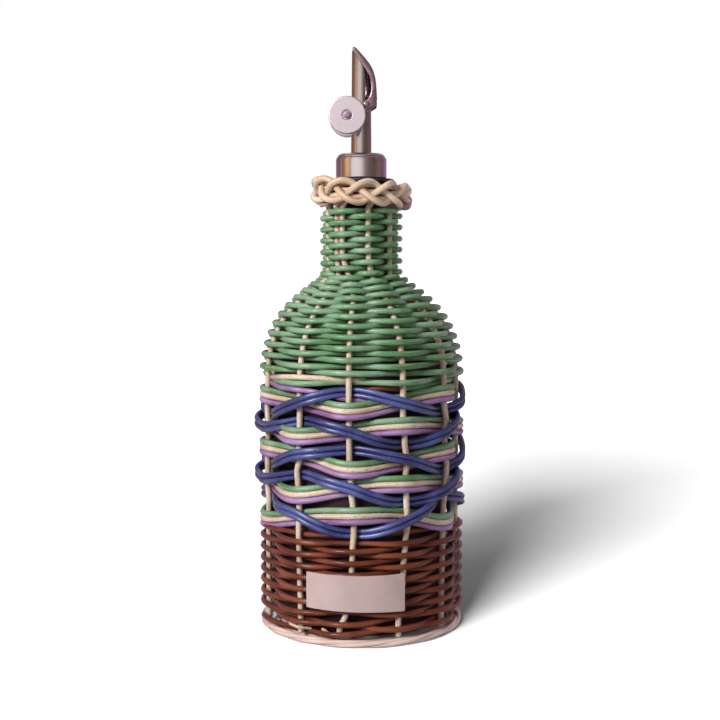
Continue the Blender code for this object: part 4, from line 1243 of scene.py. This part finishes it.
def makeSpout():
    looks = spoutLook
    segments = looks["segments"]
    shape = bmesh.new()
    layer = shape.loops.layers.uv.new("UVMap")
    walls = []
    for inner in (False, True):
        columns = [spoutColumn(fullTurn * i / segments, inner) for i in range(segments)]
        walls.append([[newCorner(shape, spot) for spot in column] for column in columns])
    for i in range(segments):
        j = (i + 1) % segments
        for wall in walls:
            for k in range(len(wall[0]) - 1):
                face = shape.faces.new([wall[i][k], wall[j][k], wall[j][k + 1], wall[i][k + 1]])
                for loop, spot in zip(face.loops, ((i, k), (i + 1, k), (i + 1, k + 1), (i, k + 1))):
                    loop[layer].uv = (spot[0] / segments, spot[1] / 2)
        for end in (-1, 0):
            shape.faces.new([walls[0][i][end], walls[0][j][end], walls[1][j][end], walls[1][i][end]])
    mesh = meshFrom("spoutShell", shape, 30)
    leaveOut(addPiece("spoutShell", mesh, "pourer", "steel", "spout_tube"), polishedLeftOut)
    layTurned("ventShell", list(looks["vent"]), "pourer", "steel", "vent_tube", segments=32,
              centre=(looks["ventAcross"], 0, 0), closed=True)
    across, up = looks["hinge"]
    for name, cad in (("studNear", "hinge_stud_near"), ("studFar", "hinge_stud_far")):
        low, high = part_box(cad)
        root, reach = sorted((abs(low.y) / millimetre, abs(high.y) / millimetre))
        sign = 1 if low.y < 0 else -1
        outline = [(radius, sign * (reach - drop)) for radius, drop in looks["studHead"]]
        outline += [(looks["studShank"], sign * root), (0.0, sign * root)]
        layTurned(name, outline, "pourer", "lidSteel", cad, segments=40, centre=(across, 0, up), axis="y",
                  degrees=35)


makeStopper()
makeCollar()
makeSpout()
print("pourer made")

# The lid with its side walls and arms, and the two discs on their pin: points are across and up
flapLook = {
    "outside": 5.2, "inside": 4.38, "lidThick": 0.68, "hinge": spoutLook["hinge"], "pin": (-5.5, 201.7),
    "eye": 1.9, "pinHole": 1.1, "hingeHole": 1.2, "holeSides": 28, "holeHalf": 8,
    "rounding": ((0.0, 0.34), (0.06, 0.18), (0.2, 0.06), (0.38, 0.0)),      # in from the side: inset
    # the lid's back from its tip to its heel, the arm's lower edge, and its upper edge back to the tip
    "back": ((-3.45, 228.2), (-2.75, 228.38), (-2.0, 228.0), (-1.0, 226.95), (0.86, 224.85), (2.4, 223.0),
             (3.8, 220.95), (4.7, 219.0), (5.4, 216.6), (5.8, 214.1), (6.0, 211.1), (6.15, 208.4)),
    "heel": (4.95, 206.4, 1.2),
    "armLower": ((4.3, 204.7), (3.2, 203.7), (1.2, 202.6), (-2.0, 201.0), (-4.6, 199.95)),
    "armUpper": ((-4.6, 203.9), (-2.6, 205.2), (-1.0, 206.3), (1.5, 207.7), (3.0, 209.0), (3.65, 210.6),
                 (3.8, 212.4), (3.75, 214.2), (3.3, 216.5), (2.3, 218.6), (0.9, 220.7), (-0.1, 222.4),
                 (-1.3, 224.2), (-2.5, 226.1), (-3.2, 227.3)),
    "hollowFrom": 6, "hollowFront": 8.0, "hollowRise": 6.0, "hollowLow": 195.0,
    "narrowing": 0.26, "narrowFrom": 218.0, "narrowReach": 10.3,
    # the heel leaves this room for the tube when the lid is fully open
    "opens": math.radians(60), "tubeRoom": 4.25, "tubeHalf": 4.3, "roomLow": 190.0, "roomHigh": 205.0,
}


def lidBack():
    return curveThrough(flapLook["back"], 4)


def lidSide():
    looks = flapLook
    return (lidBack() + arc(*looks["heel"], 25, -75, 8) + curveThrough(looks["armLower"], 4)
            + arc(*looks["pin"], looks["eye"], -75, -270, 12) + curveThrough(looks["armUpper"], 4))


def offsetRing(ring, distance):
    # moves each corner of a clockwise ring inwards
    moved = []
    for i, (x, z) in enumerate(ring):
        (aheadX, aheadZ), (behindX, behindZ) = ring[(i + 1) % len(ring)], ring[i - 1]
        run = math.hypot(aheadX - behindX, aheadZ - behindZ) or 1.0
        moved.append((x + distance * (aheadZ - behindZ) / run, z - distance * (aheadX - behindX) / run))
    return moved


def addSolid(name, slices):
    # closed solid through rings of (x, z) points, each at its own y
    shape = bmesh.new()
    rings = [[newCorner(shape, (x, y, z)) for x, z in ring] for y, ring in slices]
    for here, there in zip(rings, rings[1:]):
        for i in range(len(here)):
            j = (i + 1) % len(here)
            shape.faces.new([here[i], here[j], there[j], there[i]])
    shape.faces.new(rings[0])
    shape.faces.new(rings[-1])
    bmesh.ops.recalc_face_normals(shape, faces=shape.faces)
    made = bpy.data.objects.new(name, meshFrom(name, shape))
    scene.collection.objects.link(made)
    return made


def addSlab(name, half, ring):
    return addSolid(name, [(-half, ring), (half, ring)])


def lidHollow():
    # the space below the lid's back and between its side walls
    thick, first, ahead, rise, low = pick(flapLook, "lidThick", "hollowFrom", "hollowFront", "hollowRise",
                                          "hollowLow")
    back = lidBack()[first:]
    ring = []
    for (x, z), (nextX, nextZ) in zip(back, back[1:]):
        run = math.hypot(nextX - x, nextZ - z)
        ring.append((x + thick * (nextZ - z) / run, z - thick * (nextX - x) / run))
    front = ring[0][0] - ahead
    return [(front, ring[0][1] + rise)] + ring + [(ring[-1][0], low), (front, low)]


def tubeRoom():
    # where the tube lies, seen from the lid when it is fully open
    looks = flapLook
    (middleX, middleZ), swing, room = looks["hinge"], looks["opens"], looks["tubeRoom"]
    low, high = looks["roomLow"], looks["roomHigh"]
    ring = []
    for x, z in ((room, low), (room, high), (-room, high), (-room, low)):
        x, z = x - middleX, z - middleZ
        ring.append((middleX + x * math.cos(swing) - z * math.sin(swing),
                     middleZ + x * math.sin(swing) + z * math.cos(swing)))
    return ring


def makeLid():
    looks = flapLook
    side = lidSide()
    area = sum(a[0] * b[1] - b[0] * a[1] for a, b in zip(side, side[1:] + side[:1]))
    inward = 1 if area < 0 else -1
    slices = [(depth - looks["outside"], offsetRing(side, inward * inset))
              for depth, inset in looks["rounding"]]
    slices += [(-y, ring) for y, ring in slices[::-1]]
    outer = addSolid("lidOuter", slices)
    tools = [addSlab("lidHollow", looks["inside"], lidHollow())]
    for number, (key, hole) in enumerate((("pin", "pinHole"), ("hinge", "hingeHole"))):
        (x, z), radius = looks[key], looks[hole]
        turns = [fullTurn * i / looks["holeSides"] for i in range(looks["holeSides"])]
        ring = [(x + radius * math.cos(t), z + radius * math.sin(t)) for t in turns]
        tools.append(addSlab(f"hole{number}", looks["holeHalf"], ring))
    tools.append(addSlab("lidTrim", looks["tubeHalf"], tubeRoom()))
    for tool in tools:
        cut = outer.modifiers.new("cut", "BOOLEAN")
        cut.operation = "DIFFERENCE"
        cut.solver = "EXACT"
        cut.object = tool
    bpy.context.view_layer.update()
    mesh = bpy.data.meshes.new_from_object(outer.evaluated_get(bpy.context.evaluated_depsgraph_get()))
    mesh.name = "lidShell"
    for made in (outer, *tools):
        bpy.data.objects.remove(made, do_unlink=True)
    mesh.materials.clear()
    for vertex in mesh.vertices:
        # the lid narrows towards its tip
        rise = (vertex.co.z / millimetre - looks["narrowFrom"]) / looks["narrowReach"]
        vertex.co.y *= 1 - looks["narrowing"] * min(max(rise, 0.0), 1.0)
    smoothByAngle(mesh, 32)
    addPiece("lidShell", mesh, "flap", "lidSteel", "flap")


# Radii, and distances from the middle outwards
discLook = {
    "radius": 7.05, "nearMore": 0.22, "inside": 6.3, "outside": 9.5, "outerRound": 0.45, "innerRound": 0.5,
    "flat": 0.6,
    "bore": 1.1, "boss": ((1.1, 0.35), (1.80, 0.35), (2.0, 0.06), (2.1, 0.0), (2.3, 0.0)),     # radius, sunk
    "pin": ((0.0, 10.4), (0.9, 10.38), (1.25, 10.28), (1.4, 10.1), (1.4, 9.8), (0.8, 9.8)),
}


def makeDiscs():
    looks = discLook
    inner, outer, soft, fine = pick(looks, "inside", "outside", "outerRound", "innerRound")
    centre = (flapLook["pin"][0], 0, flapLook["pin"][1])
    for name, sign, cad in (("discNear", 1, "weight_near"), ("discFar", -1, "weight_far")):
        radius = looks["radius"] + (looks["nearMore"] if sign > 0 else 0.0)
        outline = [(reach, outer - sunk) for reach, sunk in looks["boss"]] + [(radius - looks["flat"], outer)]
        outline += arc(radius - soft, outer - soft, soft, 90, 0, 8)
        outline += arc(radius - fine, inner + fine, fine, 0, -90, 6) + [(looks["bore"], inner)]
        outline = [(reach, sign * out) for reach, out in outline]
        layTurned(name, outline, "flap", "pale_steel", cad, centre=centre, axis="y", closed=True, degrees=35)
    outline = list(looks["pin"]) + [(reach, -out) for reach, out in looks["pin"][::-1]]
    layTurned("discPin", outline, "flap", "pinSteel", "weight_pin", segments=48, centre=centre, axis="y",
              degrees=35)


makeLid()
makeDiscs()
print("flap made")
